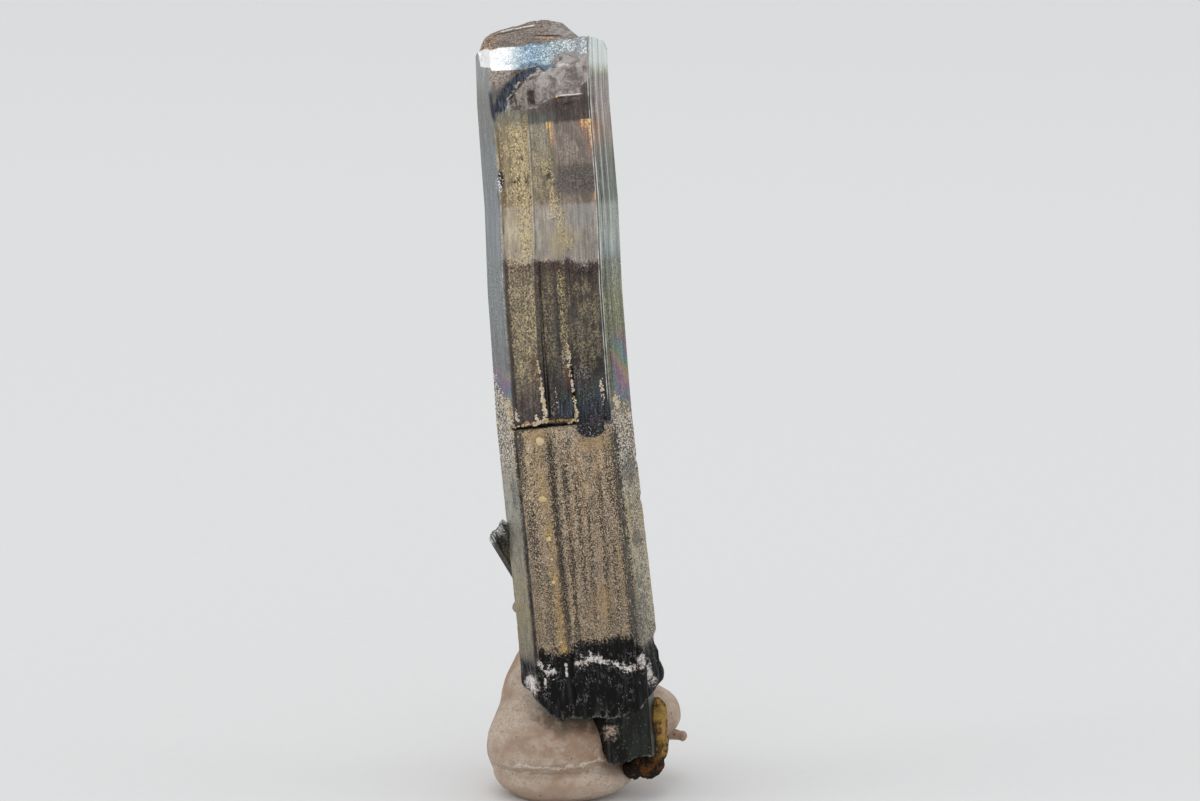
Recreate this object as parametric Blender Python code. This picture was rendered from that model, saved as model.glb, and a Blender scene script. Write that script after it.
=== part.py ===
"""A bent stibnite crystal, with its small neighbours grown on, standing in a lump of mounting putty.

Metres, +Z up. The origin is the centre of the putty's flat foot, and the crystal's broad striated face
looks towards -Y. Sizes in this file are in millimetres, and MM turns them into Blender's metres.

A crystal has its own frame: "height" runs up its axis, "across" runs along its broad front face, and
"depth" runs back into it from that face.
"""

import math

import bmesh
import bpy
import numpy as np
from mathutils import Vector, noise

MM = 0.001

# Main crystal. Each bend is (height where a straight stretch starts, its lean to the left, its lean back).
MAIN_START = (1.85, -4.6, 7.25)
MAIN_BENDS = (
    (0.0, 4.9, 4.0),
    (7.5, 6.1, 4.0),
    (23.3, 4.1, 4.9),
    (33.5, 2.3, 3.2),
    (40.2, 4.5, 4.4),
    (48.0, 2.0, 4.4),
)
BEND_SPREAD = 1.0
RIM_HEIGHT = 51.7
WIDTH_AT_FOOT, WIDTH_AT_TOP = 1.03, 0.962
MAIN_SECTION = (  # (across, depth), anticlockwise from above, starting at the left edge
    (-5.36, 2.30),
    (-4.00, 0.14),
    (-1.70, -0.12),
    (0.65, -0.15),
    (3.55, 0.02),
    (4.15, 0.55),
    (5.22, 2.10),
    (5.10, 4.05),
    (3.60, 5.95),
    (0.40, 6.40),
    (-3.10, 6.15),
    (-4.85, 4.60),
)

# Grooves along the axis: (across, width, how deep, lower end, upper end)
FRONT_GROOVES = (
    (-3.96, 0.34, 0.16, 1.5, 22.6),
    (-3.92, 0.22, 0.08, 23.6, 50.6),
    (-1.40, 0.52, 0.20, 1.0, 22.6),
    (-0.60, 0.30, 0.10, 2.5, 22.0),
    (0.70, 0.34, 0.09, 4.0, 20.0),
    (2.15, 0.26, 0.09, 3.0, 20.0),
    (3.74, 0.44, 0.17, 2.5, 22.6),
    (-1.20, 0.36, 0.17, 23.6, 36.0),
    (3.62, 0.20, 0.09, 24.0, 50.0),
    (4.02, 0.20, 0.08, 24.0, 50.5),
    (4.55, 0.24, 0.07, 24.0, 50.5),
)
BACK_GROOVES = (
    (2.60, 0.50, 0.18, 12.0, 49.0),
    (1.20, 0.40, 0.14, 6.0, 44.0),
    (-0.70, 0.55, 0.20, 10.0, 50.0),
    (-2.30, 0.40, 0.15, 14.0, 47.0),
)
FRONT_SPACING = 0.36

# Laths that stand proud of the coated lower half: (left edge, right edge, lower end, how proud)
LATHS = (
    (-3.90, -1.35, 23.2, 0.12),
    (-1.05, -0.50, 23.2, 0.06),
    (-0.45, 0.80, 23.5, 0.14),
    (0.92, 3.05, 21.9, 0.20),
    (3.12, 3.60, 23.0, 0.10),
)
LATH_TOP = 33.0
LATH_END_ROUND = 0.55

# The crack across the front, where the laths end: (left end, right end), its height, width and depth
CRACK_ENDS = (-4.3, 0.9)
CRACK_AT, CRACK_WIDTH, CRACK_DEEP = 23.08, 0.36, 0.24

# Curved hollow under the bright end face, and the rough mass inside its curve
HOLLOW_CENTRE = (0.0, 47.4)
HOLLOW_RADIUS, HOLLOW_WIDTH, HOLLOW_DEEP = 3.15, 1.1, 0.46
MASS_OUT = 0.13
MASS_BOTTOM, MASS_WAVE = 48.0, 0.28

# Chips and bumps on the right edge: (height, half height, how far in)
EDGE_CHIPS = ((5.3, 0.8, 0.26), (2.7, 0.9, -0.30), (16.4, 0.35, 0.12), (19.6, 0.3, 0.10))
LEFT_BUMP_AT, LEFT_BUMP_HALF, LEFT_BUMP_OUT = 8.9, 0.45, 0.26

# End faces, each a plane whose height over the rim is: at + slope across + slope back
TOP_FACES = (
    (-0.72, 0.16, 1.20),  # lower front face, which mirrors the light above
    (-0.26, 0.146, 0.837),  # upper front face
    (2.60, 0.25, 0.0),  # long slope down to the left
    (4.57, 0.74, 0.0),  # rounded left corner
    (10.45, 2.05, 0.0),
    (2.66, -0.30, 0.0),  # short slope down to the right
    (13.60, -2.70, 0.0),  # rounded right corner
    (4.40, 0.10, -0.55),  # upper back face
    (7.80, 0.00, -1.35),  # lower back face
)
# The block above both of these planes is missing, which leaves a lower shoulder on the right
SHOULDER_FACES = ((3.60, -0.86, 0.0), (1.82, -0.16, -0.12))
TOP_OVER = 4.5

# Broken lower end of the main crystal: (across, height) along its front edge
FOOT_EDGE = (
    (-5.5, 2.6),
    (-5.1, 2.3),
    (-4.3, 1.55),
    (-3.4, 0.45),
    (-2.5, -0.12),
    (-2.0, 0.12),
    (-0.7, 0.0),
    (0.2, 0.05),
    (1.2, -0.18),
    (2.1, -0.05),
    (2.9, 0.1),
    (3.6, 0.35),
    (4.2, 0.95),
    (5.1, 1.4),
    (5.6, 1.7),
)

FOOT_SPREAD = 8.5  # height by which the rings have levelled out above the uneven foot

# Crystal left standing under the broken foot
STUB_START = (4.10, -4.15, 3.35)
STUB_SECTION = ((-2.30, 1.50), (-1.15, 0.10), (2.30, -0.05), (2.75, 1.80), (2.20, 4.40), (-1.80, 4.50))
STUB_EDGE = ((-2.4, 3.2), (-1.2, 0.15), (-0.6, -0.1), (1.2, 0.45), (2.5, 0.5))
STUB_LENGTH = 11.0
STUB_LEAN = (4.0, 3.0)

# Little broken crystal on the left edge, leaning out
SIDE_START = (-2.60, -1.15, 15.9)
SIDE_SECTION = ((-1.00, 0.75), (-0.55, 0.00), (0.70, -0.05), (1.05, 0.70), (0.60, 1.45), (-0.50, 1.50))
SIDE_EDGE = ((-1.0, 0.0), (1.0, 0.0))
SIDE_LENGTH = 6.0
SIDE_LEAN = (30.0, -3.0)

# Rusty crust on the right of the stub: lumps as (centre, half axes)
OCHRE_LUMPS = (
    ((6.55, -1.55, 6.3), (1.00, 1.35, 1.75)),
    ((6.70, -1.20, 4.2), (0.95, 1.45, 1.50)),
    ((5.90, -1.60, 2.75), (1.35, 1.30, 1.05)),
    ((4.85, -1.90, 2.45), (0.75, 0.95, 0.62)),
)
OCHRE_CENTRE = (6.35, -1.45, 4.3)

# Putty: lumps as (centre, half axes), pressed flat at the foot
PUTTY_CENTRE = (0.4, 1.2, 5.2)
PUTTY_LUMPS = (
    ((-1.3, 0.3, 3.8), (5.35, 5.3, 4.4)),
    ((-0.1, 0.3, 1.7), (5.10, 5.0, 1.9)),
    ((0.4, 2.6, 6.6), (5.9, 4.6, 6.2)),
    ((0.9, 3.5, 9.6), (4.5, 3.6, 4.2)),
    ((5.2, 3.5, 5.5), (3.6, 3.2, 2.35)),
)
PUTTY_BLEND = 9.0
PUTTY_LUMPY = 0.025
NUB_START, NUB_END, NUB_THICK = (7.4, 3.1, 4.0), (9.2, 2.7, 3.75), 0.5
FOLD_HEIGHT, FOLD_TILT = 2.9, 0.05
FOLD_DEEP, FOLD_WIDTH = 0.26, 0.40
FOLD_RINGS = (0.02, 0.08, 0.14, 0.19, 0.225, 0.25, 0.275, 0.30, 0.33, 0.37, 0.42)

GAP = 0.3  # kept between pieces that touch
END_GAP = 1.7  # times GAP, at a crystal's sloping broken ends

STIBNITE = ((0.13, 0.125, 0.12), 0.38, 0.85)
OCHRE = ((0.36, 0.20, 0.06), 0.85, 0.0)
PUTTY = ((0.60, 0.50, 0.41), 0.75, 0.0)


def smooth_step(x):
    """0 below 0, 1 above 1, and a smooth rise between."""
    x = np.clip(x, 0.0, 1.0)
    return x * x * (3.0 - 2.0 * x)


def between(x, low, high, soft):
    """1 from low to high and 0 outside, over soft at each end."""
    return smooth_step((x - low) / soft + 0.5) * smooth_step((high - x) / soft + 0.5)


def leans(height, bends):
    """Lean to the left and lean back, in radians, at each height along a bent axis."""
    left = np.full(np.shape(height), bends[0][1])
    back = np.full(np.shape(height), bends[0][2])
    for before, after in zip(bends, bends[1:]):
        turned = smooth_step((height - after[0]) / BEND_SPREAD + 0.5)
        left = left + (after[1] - before[1]) * turned
        back = back + (after[2] - before[2]) * turned
    return np.radians(left), np.radians(back)


def axis_directions(height, bends):
    """Unit vectors up the axis, across the front face and back from it."""
    left, back = leans(height, bends)
    up = np.stack([-np.tan(left), np.tan(back), np.ones_like(left)], -1)
    up /= np.linalg.norm(up, axis=-1, keepdims=True)
    across = np.array([1.0, 0.0, 0.0]) - up[..., :1] * up
    across /= np.linalg.norm(across, axis=-1, keepdims=True)
    return up, across, np.cross(up, across)


def place(across, depth, height, start, bends):
    """Points of a crystal's own frame in the world, in millimetres."""
    steps = np.arange(-6.0, 70.0, 0.1)
    up, _, _ = axis_directions(steps, bends)
    path = np.cumsum(up, axis=0) * 0.1
    path -= np.array([np.interp(0.0, steps, path[:, i]) for i in range(3)])
    on_axis = np.stack([np.interp(height, steps, path[:, i]) for i in range(3)], -1)
    _, across_way, depth_way = axis_directions(height, bends)
    return np.array(start) + on_axis + across[..., None] * across_way + depth[..., None] * depth_way


def walk_round(corners, spacing, front=(), back=()):
    """Points along a section's outline, corners included, and the outward normal at each.

    A face that looks forward or back gets its points at the given stops across it, which are the edges
    of its grooves and laths. Any other face gets them evenly.
    """
    points, normals = [], []
    count = len(corners)
    ways = [Vector(corners[(i + 1) % count]) - Vector(corners[i]) for i in range(count)]
    sides = [Vector((w.y, -w.x)).normalized() for w in ways]
    for i, way in enumerate(ways):
        start = Vector(corners[i])
        stops = front if sides[i].y < 0.0 else back
        if len(stops) and abs(sides[i].y) > 0.5:
            shares = sorted((stop - start.x) / way.x for stop in stops)
            shares = [share for share in shares if 0.06 < share * way.length < way.length - 0.06]
        else:
            pieces = max(1, round(way.length / spacing))
            shares = [k / pieces for k in range(1, pieces)]
        points.append(start)
        normals.append((sides[i] + sides[i - 1]).normalized())
        for share in shares:
            points.append(start + way * share)
            normals.append(sides[i])
    return np.array(points), np.array(normals)


def groove_stops(grooves):
    """Places across a face where its grooves start, are deepest and end."""
    return [at + side * 0.5 * width for at, width, *_ in grooves for side in (-1.0, 0.0, 1.0)]


def front_stops():
    """Places across the front face where a groove or a lath starts or ends, and some in between."""
    wanted = groove_stops(FRONT_GROOVES) + list(np.arange(-3.9, 3.6, FRONT_SPACING))
    for left, right, *_ in LATHS:
        wanted += [left - 0.06, left + 0.06, right - 0.06, right + 0.06]
    stops = []
    for stop in sorted(wanted):
        if not stops or stop - stops[-1] > 0.09:
            stops.append(stop)
    return stops


def groove_depth(across, height, grooves):
    """How far the grooves go in at a place on a face."""
    depth = np.zeros(np.shape(height))
    for at, width, deep, low, high in grooves:
        profile = np.clip(1.0 - np.abs(across - at) / (0.5 * width), 0.0, 1.0)
        depth = np.maximum(depth, deep * profile * between(height, low, high, 1.2))
    return depth


def lath_height(across, height):
    """How far the laths of the upper half stand out over the coated lower half."""
    proud = np.zeros(np.shape(height))
    for left, right, low, out in LATHS:
        half = 0.5 * (right - left)
        from_middle = np.abs(across - 0.5 * (left + right)) / half
        end = low + LATH_END_ROUND * np.clip(from_middle, 0.0, 1.0) ** 3
        inside = between(across, left, right, 0.10) * smooth_step((height - end) / 0.12 + 0.5)
        proud = np.maximum(proud, out * inside * smooth_step((LATH_TOP - height) / 9.0))
    return proud


def hollow_depth(across, height):
    """The curved hollow under the bright end face, less the rough mass that stands out inside its curve."""
    right, up = across - HOLLOW_CENTRE[0], height - HOLLOW_CENTRE[1]
    away = np.hypot(right, up)
    turn = np.degrees(np.arctan2(up, -right))
    along = between(turn, 5.0, 82.0, 34.0)
    wide = HOLLOW_WIDTH * (0.45 + 0.55 * np.clip(1.0 - turn / 90.0, 0.0, 1.0))
    hollow = HOLLOW_DEEP * along * np.clip(1.0 - ((away - HOLLOW_RADIUS) / wide) ** 2, 0.0, 1.0)
    inside = smooth_step((HOLLOW_RADIUS - 0.3 - away) / 0.4) + between(across, 0.0, 3.2, 0.3)
    bottom = MASS_BOTTOM + MASS_WAVE * np.sin(2.4 * across + 0.6)
    mass = np.clip(inside, 0.0, 1.0) * between(height, bottom, RIM_HEIGHT - 0.9, 0.3)
    return hollow - MASS_OUT * mass


def crack_depth(across, height):
    """The crack that crosses the front below the laths."""
    profile = np.clip(1.0 - np.abs(height - CRACK_AT) / (0.5 * CRACK_WIDTH), 0.0, 1.0)
    return CRACK_DEEP * profile * between(across, *CRACK_ENDS, 0.3)


def main_relief(points, height):
    """How far the main crystal's surface goes in, at outline points and heights."""
    across, depth = points[..., 0], points[..., 1]
    on_front = groove_depth(across, height, FRONT_GROOVES) - lath_height(across, height)
    on_front = on_front + hollow_depth(across, height) + crack_depth(across, height)
    on_back = groove_depth(across, height, BACK_GROOVES)
    relief = np.where(depth < 2.2, on_front, on_back)
    for at, half, deep in EDGE_CHIPS:
        chip = deep * np.clip(1.0 - ((height - at) / half) ** 2, 0.0, 1.0)
        relief = relief + chip * smooth_step((across - 4.3) / 0.5)
    bump = np.clip(1.0 - ((height - LEFT_BUMP_AT) / LEFT_BUMP_HALF) ** 2, 0.0, 1.0)
    return relief - LEFT_BUMP_OUT * bump * smooth_step((-4.9 - across) / 0.3)


def foot_height(across, depth):
    """Height of the broken lower end, rough like a torn edge."""
    edge = np.interp(across, [p[0] for p in FOOT_EDGE], [p[1] for p in FOOT_EDGE])
    rough = 0.35 * np.sin(2.1 * across + 1.3 * depth) + 0.25 * np.sin(3.7 * depth - 1.9 * across)
    return edge + smooth_step(depth / 2.5) * (0.6 + rough)


def main_points(spacing, ring_heights, cap_rings, grow=0.0):
    """Rings of points of the main crystal, from its broken foot up. Its end faces are cut afterwards."""
    stops = ((), ()) if grow else (front_stops(), groove_stops(BACK_GROOVES))
    outline, normals = walk_round(MAIN_SECTION, spacing, *stops)
    centre = np.mean(MAIN_SECTION, axis=0)
    rings = []

    def ring(points, height, out_by):
        wide = np.interp(height, [0.0, RIM_HEIGHT], [WIDTH_AT_FOOT, WIDTH_AT_TOP])
        moved = points * wide[:, None] + normals * out_by[:, None]
        rings.append(place(moved[:, 0], moved[:, 1], height, MAIN_START, MAIN_BENDS))

    for share in np.linspace(0.0, 1.0, cap_rings + 1)[1:-1]:
        points = centre + (outline - centre) * share
        height = foot_height(points[:, 0], points[:, 1]) - END_GAP * grow
        ring(points, height, np.full(len(outline), grow * share))
    foot = foot_height(outline[:, 0], outline[:, 1]) - END_GAP * grow
    for nominal in ring_heights:
        height = nominal + foot * smooth_step(1.0 - nominal / FOOT_SPREAD)
        relief = 0.0 if grow else main_relief(outline, height)
        ring(outline, height, grow - relief + np.zeros(len(outline)))
    return rings


def prism_points(section, edge, length, start, lean, spacing, rings, grow=0.0, ragged=0.35):
    """Rings of points of a small straight crystal, broken along an edge below and a little unevenly above."""
    outline, normals = walk_round(section, spacing)
    bends = ((0.0, *lean),)
    centre = np.mean(section, axis=0)
    result = []

    def ring(share, out_by, up_share):
        points = centre + (outline - centre) * share
        low = np.interp(points[:, 0], [p[0] for p in edge], [p[1] for p in edge])
        uneven = ragged * np.sin(2.3 * points[:, 0] + 1.7 * points[:, 1] + 0.6)
        low = low + 0.5 * uneven * smooth_step(points[:, 1] / 1.5) - END_GAP * grow
        high = length - uneven + END_GAP * grow
        points = points + normals * out_by
        height = low + (high - low) * up_share
        result.append(place(points[:, 0], points[:, 1], height, start, bends))

    for share in (0.35, 0.7):
        ring(share, grow * share, 0.0)
    for up_share in np.linspace(0.0, 1.0, rings):
        ring(1.0, grow, up_share)
    for share in (0.7, 0.35):
        ring(share, grow * share, 1.0)
    return result


def shade(mesh, sharp_degrees):
    """Smooth shading, apart from edges sharper than the angle."""
    mesh.shade_smooth()
    mesh.set_sharp_from_angle(angle=math.radians(sharp_degrees))


def add_mesh(name, points, faces, finish, sharp_degrees=28.0):
    """A mesh object from points in millimetres, with its own material."""
    mesh = bpy.data.meshes.new(name)
    mesh.from_pydata([tuple(p) for p in np.asarray(points) * MM], [], faces)
    colour, roughness, metallic = finish
    material = bpy.data.materials.new(name)
    material.use_nodes = True
    shader = material.node_tree.nodes["Principled BSDF"]
    shader.inputs["Base Color"].default_value = (*colour, 1.0)
    shader.inputs["Roughness"].default_value = roughness
    shader.inputs["Metallic"].default_value = metallic
    mesh.materials.append(material)
    shade(mesh, sharp_degrees)
    obj = bpy.data.objects.new(name, mesh)
    bpy.context.scene.collection.objects.link(obj)
    return obj


def loft(name, rings, finish, sharp_degrees=28.0):
    """A closed solid through rings of equal point counts, ended by a fan at each end."""
    count = len(rings[0])
    points = np.concatenate([*rings, [rings[0].mean(axis=0)], [rings[-1].mean(axis=0)]])
    foot, top = len(points) - 2, len(points) - 1
    faces = []
    for r in range(len(rings) - 1):
        for i in range(count):
            a, b = r * count + i, r * count + (i + 1) % count
            faces.append((a, b, b + count, a + count))
    last = (len(rings) - 1) * count
    for i in range(count):
        faces.append((foot, (i + 1) % count, i))
        faces.append((top, last + i, last + (i + 1) % count))
    return add_mesh(name, points, faces, finish, sharp_degrees)


def boolean(target, other, operation):
    """Joins or cuts target with other, which is kept only as a hidden helper."""
    modifier = target.modifiers.new(f"{operation} {other.name}", "BOOLEAN")
    modifier.operation = operation
    modifier.object = other
    modifier.solver = "EXACT"
    other.hide_render = True
    other.display_type = "WIRE"


def end_plane(face):
    """A point and the upward normal of a plane given by its height over the rim and its two slopes."""
    at, rise_across, rise_back = face
    rim, none = np.full(1, RIM_HEIGHT), np.zeros(1)
    up, across, back = (way[0] for way in axis_directions(rim, MAIN_BENDS))
    point = place(none, none, rim + at, MAIN_START, MAIN_BENDS)[0]
    return Vector(point) * MM, Vector(up - rise_across * across - rise_back * back).normalized()


def cut_by_planes(obj, faces, keep_above=False):
    """Cuts an object by each plane in turn, keeps what is below it (or above), and closes the cut."""
    bm = bmesh.new()
    bm.from_mesh(obj.data)
    for face in faces:
        point, normal = end_plane(face)
        if keep_above:
            normal = -normal
        geometry = bm.verts[:] + bm.edges[:] + bm.faces[:]
        bmesh.ops.bisect_plane(
            bm, geom=geometry, dist=1e-8, plane_co=point, plane_no=normal, clear_outer=True
        )
        bmesh.ops.holes_fill(bm, edges=[edge for edge in bm.edges if edge.is_boundary], sides=0)
    bmesh.ops.recalc_face_normals(bm, faces=bm.faces[:])
    bm.to_mesh(obj.data)
    bm.free()
    shade(obj.data, 28.0)


def block_over_shoulder():
    """The block that is missing over the right shoulder, as a helper."""
    across = np.array([-4.0, 9.0, 9.0, -4.0])
    depth = np.array([-3.0, -3.0, 11.0, 11.0])
    levels = [np.full(4, RIM_HEIGHT + height) for height in (-4.0, 9.0)]
    rings = [place(across, depth, level, MAIN_START, MAIN_BENDS) for level in levels]
    block = loft("over_shoulder", rings, STIBNITE)
    cut_by_planes(block, SHOULDER_FACES, keep_above=True)
    return block


def lump_radius(direction, centre, lumps, blend):
    """How far a ray from centre runs before it leaves a blend of ellipsoids."""
    total = 0.0
    for middle, half in lumps:
        scale = Vector([1.0 / h for h in half])
        way = direction * scale
        offset = (Vector(centre) - Vector(middle)) * scale
        a, b, c = way.dot(way), way.dot(offset), offset.dot(offset) - 1.0
        root = b * b - a * c
        reach = (-b + math.sqrt(root)) / a if root > 0.0 else 0.0
        total += max(reach, 0.0) ** blend
    return total ** (1.0 / blend)


def ball_mesh(subdivisions):
    """Unit directions and faces of an icosphere."""
    bm = bmesh.new()
    bmesh.ops.create_icosphere(bm, subdivisions=subdivisions, radius=1.0)
    directions = [v.co.normalized() for v in bm.verts]
    faces = [tuple(v.index for v in f.verts) for f in bm.faces]
    bm.free()
    return directions, faces


def stibnite_parts(grow=0.0):
    """The crystals that grew into each other: main, stub under it, small one on its left."""
    tag = "stibnite" if not grow else "grown"
    heights = [0.0, 0.7, 1.5, 2.4, 3.2, 4.2, 5.3, 6.2, 7.6, 8.5, 8.9, 9.3, 12.5, 16.0, 16.4, 16.8, 19.3]
    heights += [19.6, 19.9, 20.8, 21.7, 22.1, 22.5, 22.8, 22.95, 23.1, 23.3, 23.6, 24.2, 25.5, 27.5]
    heights += [30.0, 33.0, 34.2, 36.2, 38.0, 39.7, 40.7, 43.0, 45.0, 46.0, 46.6, 47.0, 47.4, 47.7]
    heights += [48.0, 48.3, 48.7, 49.1, 49.5, 49.9, 50.3, 50.7, 51.1, 51.5]
    if grow:
        main = main_points(0.9, [0.0, 1.5, 4.0, 8.0, 13.0, 20.0], 4, grow)
    else:
        main = main_points(1.1, [*heights, RIM_HEIGHT + TOP_OVER], 4)
    spacing, rings = (1.0, 3) if grow else (0.6, 5)
    evenly = (spacing, rings, grow)
    stub = prism_points(STUB_SECTION, STUB_EDGE, STUB_LENGTH, STUB_START, STUB_LEAN, *evenly)
    side = prism_points(SIDE_SECTION, SIDE_EDGE, SIDE_LENGTH, SIDE_START, SIDE_LEAN, *evenly, 0.22)
    return [
        loft(tag, main, STIBNITE),
        loft(f"{tag}_stub", stub, STIBNITE),
        loft(f"{tag}_side", side, STIBNITE),
    ]


def ochre_crust(grow=0.0):
    """The rusty lumps at the lower right."""
    directions, faces = ball_mesh(4)
    points = []
    for way in directions:
        reach = lump_radius(way, OCHRE_CENTRE, OCHRE_LUMPS, 6.0)
        rough = 1.0 + 0.10 * noise.fractal(way * 2.6, 0.6, 2.0, 3)
        points.append(Vector(OCHRE_CENTRE) + way * (reach * rough + grow))
    return add_mesh("ochre_crust" if not grow else "grown_ochre", points, faces, OCHRE)


def putty_reach(way):
    """How far the putty runs from its centre in one direction."""
    reach = lump_radius(way, PUTTY_CENTRE, PUTTY_LUMPS, PUTTY_BLEND)
    reach *= 1.0 + PUTTY_LUMPY * noise.fractal(way * 2.1 + Vector((3.0, 1.0, 7.0)), 0.8, 2.0, 3)
    point = Vector(PUTTY_CENTRE) + way * reach
    if point.y < 0.0:
        off = (point.z - FOLD_HEIGHT - FOLD_TILT * point.x) / FOLD_WIDTH
        reach -= FOLD_DEEP * math.exp(-off * off) * min(1.0, -point.y / 2.0)
    return reach


def putty_way(around, polar):
    """A direction from the putty's centre: around is the turn about Z, and polar is the angle from +Z."""
    return Vector((math.sin(polar) * math.cos(around), math.sin(polar) * math.sin(around), math.cos(polar)))


def putty_lump(sides=52, upper_rings=17):
    """The lump of putty, flat where it rests, with its fold."""
    shares = [0.0, *FOLD_RINGS, *np.linspace(0.42, 0.97, upper_rings)[1:]]
    rings = [[] for _ in shares]
    for k in range(sides):
        around = 2.0 * math.pi * k / sides
        low, high = 0.5 * math.pi, math.pi
        for _ in range(30):
            polar = 0.5 * (low + high)
            way = putty_way(around, polar)
            above = PUTTY_CENTRE[2] + way.z * putty_reach(way) > 0.0
            low, high = (polar, high) if above else (low, polar)
        for ring, share in zip(rings, shares):
            way = putty_way(around, low * (1.0 - share))
            point = Vector(PUTTY_CENTRE) + way * putty_reach(way)
            ring.append((point.x, point.y, 0.0 if share == 0.0 else max(point.z, 0.02)))
    return loft("putty", [np.array(ring) for ring in rings], PUTTY, 60.0)


def putty_nub():
    """The little drawn-out nub on the putty's right."""
    directions, faces = ball_mesh(2)
    start, end = Vector(NUB_START), Vector(NUB_END)
    half = (end - start) * 0.5
    along = half.normalized()
    points = []
    for way in directions:
        forward = way.dot(along)
        points.append((start + end) * 0.5 + half * forward + (way - along * forward) * NUB_THICK)
    return add_mesh("nub", points, faces, PUTTY, 60.0)


def build():
    for obj in list(bpy.data.objects):
        bpy.data.objects.remove(obj)
    crystals, *grown_on = stibnite_parts()
    cut_by_planes(crystals, TOP_FACES)
    boolean(crystals, block_over_shoulder(), "DIFFERENCE")
    for neighbour in grown_on:
        boolean(crystals, neighbour, "UNION")
    cutters = stibnite_parts(GAP)
    crust = ochre_crust()
    for cutter in cutters[:2]:
        boolean(crust, cutter, "DIFFERENCE")
    putty = putty_lump()
    boolean(putty, putty_nub(), "UNION")
    for cutter in [*cutters[:2], ochre_crust(GAP)]:
        boolean(putty, cutter, "DIFFERENCE")
    for cutter in cutters:
        cutter.hide_render = True
        cutter.display_type = "WIRE"


build()
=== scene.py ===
import math

import bmesh
import bpy
import numpy as np
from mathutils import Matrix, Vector


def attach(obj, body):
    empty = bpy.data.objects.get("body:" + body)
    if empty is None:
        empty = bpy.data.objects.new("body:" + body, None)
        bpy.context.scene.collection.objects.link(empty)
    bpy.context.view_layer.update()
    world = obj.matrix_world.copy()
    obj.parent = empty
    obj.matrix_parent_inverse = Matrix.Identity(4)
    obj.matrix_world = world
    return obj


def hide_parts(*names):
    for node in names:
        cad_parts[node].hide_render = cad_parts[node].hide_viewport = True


# A bent stibnite crystal with its small neighbours, a rusty crust and the putty that it stands in.
# Sizes are in millimetres, as in the CAD source, and MM turns them into Blender's metres. A crystal has its
# own frame: "height" runs up its axis, "across" runs along its broad front face, "depth" runs back from it.

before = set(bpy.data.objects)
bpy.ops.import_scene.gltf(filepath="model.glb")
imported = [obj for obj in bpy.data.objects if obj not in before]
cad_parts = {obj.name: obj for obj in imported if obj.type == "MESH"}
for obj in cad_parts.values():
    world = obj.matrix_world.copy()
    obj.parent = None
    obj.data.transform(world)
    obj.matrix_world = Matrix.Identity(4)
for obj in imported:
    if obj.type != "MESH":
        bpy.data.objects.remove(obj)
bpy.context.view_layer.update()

MM = 0.001

# ------------------------------------------------------------------ sizes, most as in the CAD source

MAIN_START = (1.85, -4.6, 7.25)
MAIN_BENDS = (  # (height where a straight stretch starts, its lean to the left, its lean back)
    (0.0, 4.9, 4.0), (7.5, 6.1, 4.0), (23.3, 4.1, 4.9), (33.5, 2.3, 3.2), (40.2, 4.5, 4.4),
    (48.0, 2.0, 4.4),
)
BEND_SPREAD = 1.0
AXIS_REACH, AXIS_STEP = (-6.0, 70.0), 0.1  # the heights between which the axis is followed, in steps
RIM_HEIGHT = 51.7
WIDTH_AT_FOOT, WIDTH_AT_TOP = 1.03, 0.962
MAIN_SECTION = (
    (-5.36, 2.30), (-4.00, 0.14), (-1.70, -0.12), (0.65, -0.15), (3.55, 0.02), (4.15, 0.55), (5.22, 2.10),
    (5.10, 4.05), (3.60, 5.95), (0.40, 6.40), (-3.10, 6.15), (-4.85, 4.60),
)
FRONT_DEPTH = 2.2  # the front and its bevels lie before this depth, the back behind it
BEVELS = (-4.0, 3.5)  # the bevels lie outside these places across the front
FRONT_GROOVES = (  # (across, width, how deep, lower end, upper end)
    (-3.96, 0.34, 0.16, 1.5, 22.6), (-3.92, 0.22, 0.08, 23.6, 50.6), (-1.40, 0.52, 0.20, 1.0, 22.6),
    (-0.60, 0.30, 0.10, 2.5, 22.0), (0.70, 0.34, 0.09, 4.0, 20.0), (2.15, 0.26, 0.09, 3.0, 20.0),
    (3.74, 0.44, 0.17, 2.5, 22.6), (-1.20, 0.36, 0.17, 23.6, 36.0), (3.62, 0.20, 0.09, 24.0, 50.0),
    (4.02, 0.20, 0.08, 24.0, 50.5), (4.55, 0.24, 0.07, 24.0, 50.5),
)
BACK_GROOVES = (
    (2.60, 0.50, 0.18, 12.0, 49.0), (1.20, 0.40, 0.14, 6.0, 44.0), (-0.70, 0.55, 0.20, 10.0, 50.0),
    (-2.30, 0.40, 0.15, 14.0, 47.0),
)
LATHS = (  # (left edge, right edge, lower end, how proud)
    (-3.90, -1.35, 23.2, 0.12), (-1.05, -0.50, 23.2, 0.06), (-0.45, 0.80, 23.5, 0.14),
    (0.92, 3.05, 21.9, 0.20), (3.12, 3.60, 23.0, 0.10),
)
LATH_TOP, LATH_FADE = 33.0, 9.0
LATH_END_ROUND = 0.55
CRACK_ENDS = (-4.3, 0.9)
CRACK_AT, CRACK_WIDTH, CRACK_DEEP = 23.08, 0.36, 0.24
HOLLOW_CENTRE = (0.0, 47.4)
HOLLOW_RADIUS, HOLLOW_WIDTH, HOLLOW_DEEP = 3.15, 1.1, 0.46
HOLLOW_TURN = (5.0, 82.0)  # degrees round its centre, from the left edge upward
MASS_OUT = 0.13
MASS_BOTTOM, MASS_WAVE = 48.0, 0.28
EDGE_CHIPS = ((5.3, 0.8, 0.26), (2.7, 0.9, -0.30), (16.4, 0.35, 0.12), (19.6, 0.3, 0.10))
LEFT_BUMP_AT, LEFT_BUMP_HALF, LEFT_BUMP_OUT = 8.9, 0.45, 0.26
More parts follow.
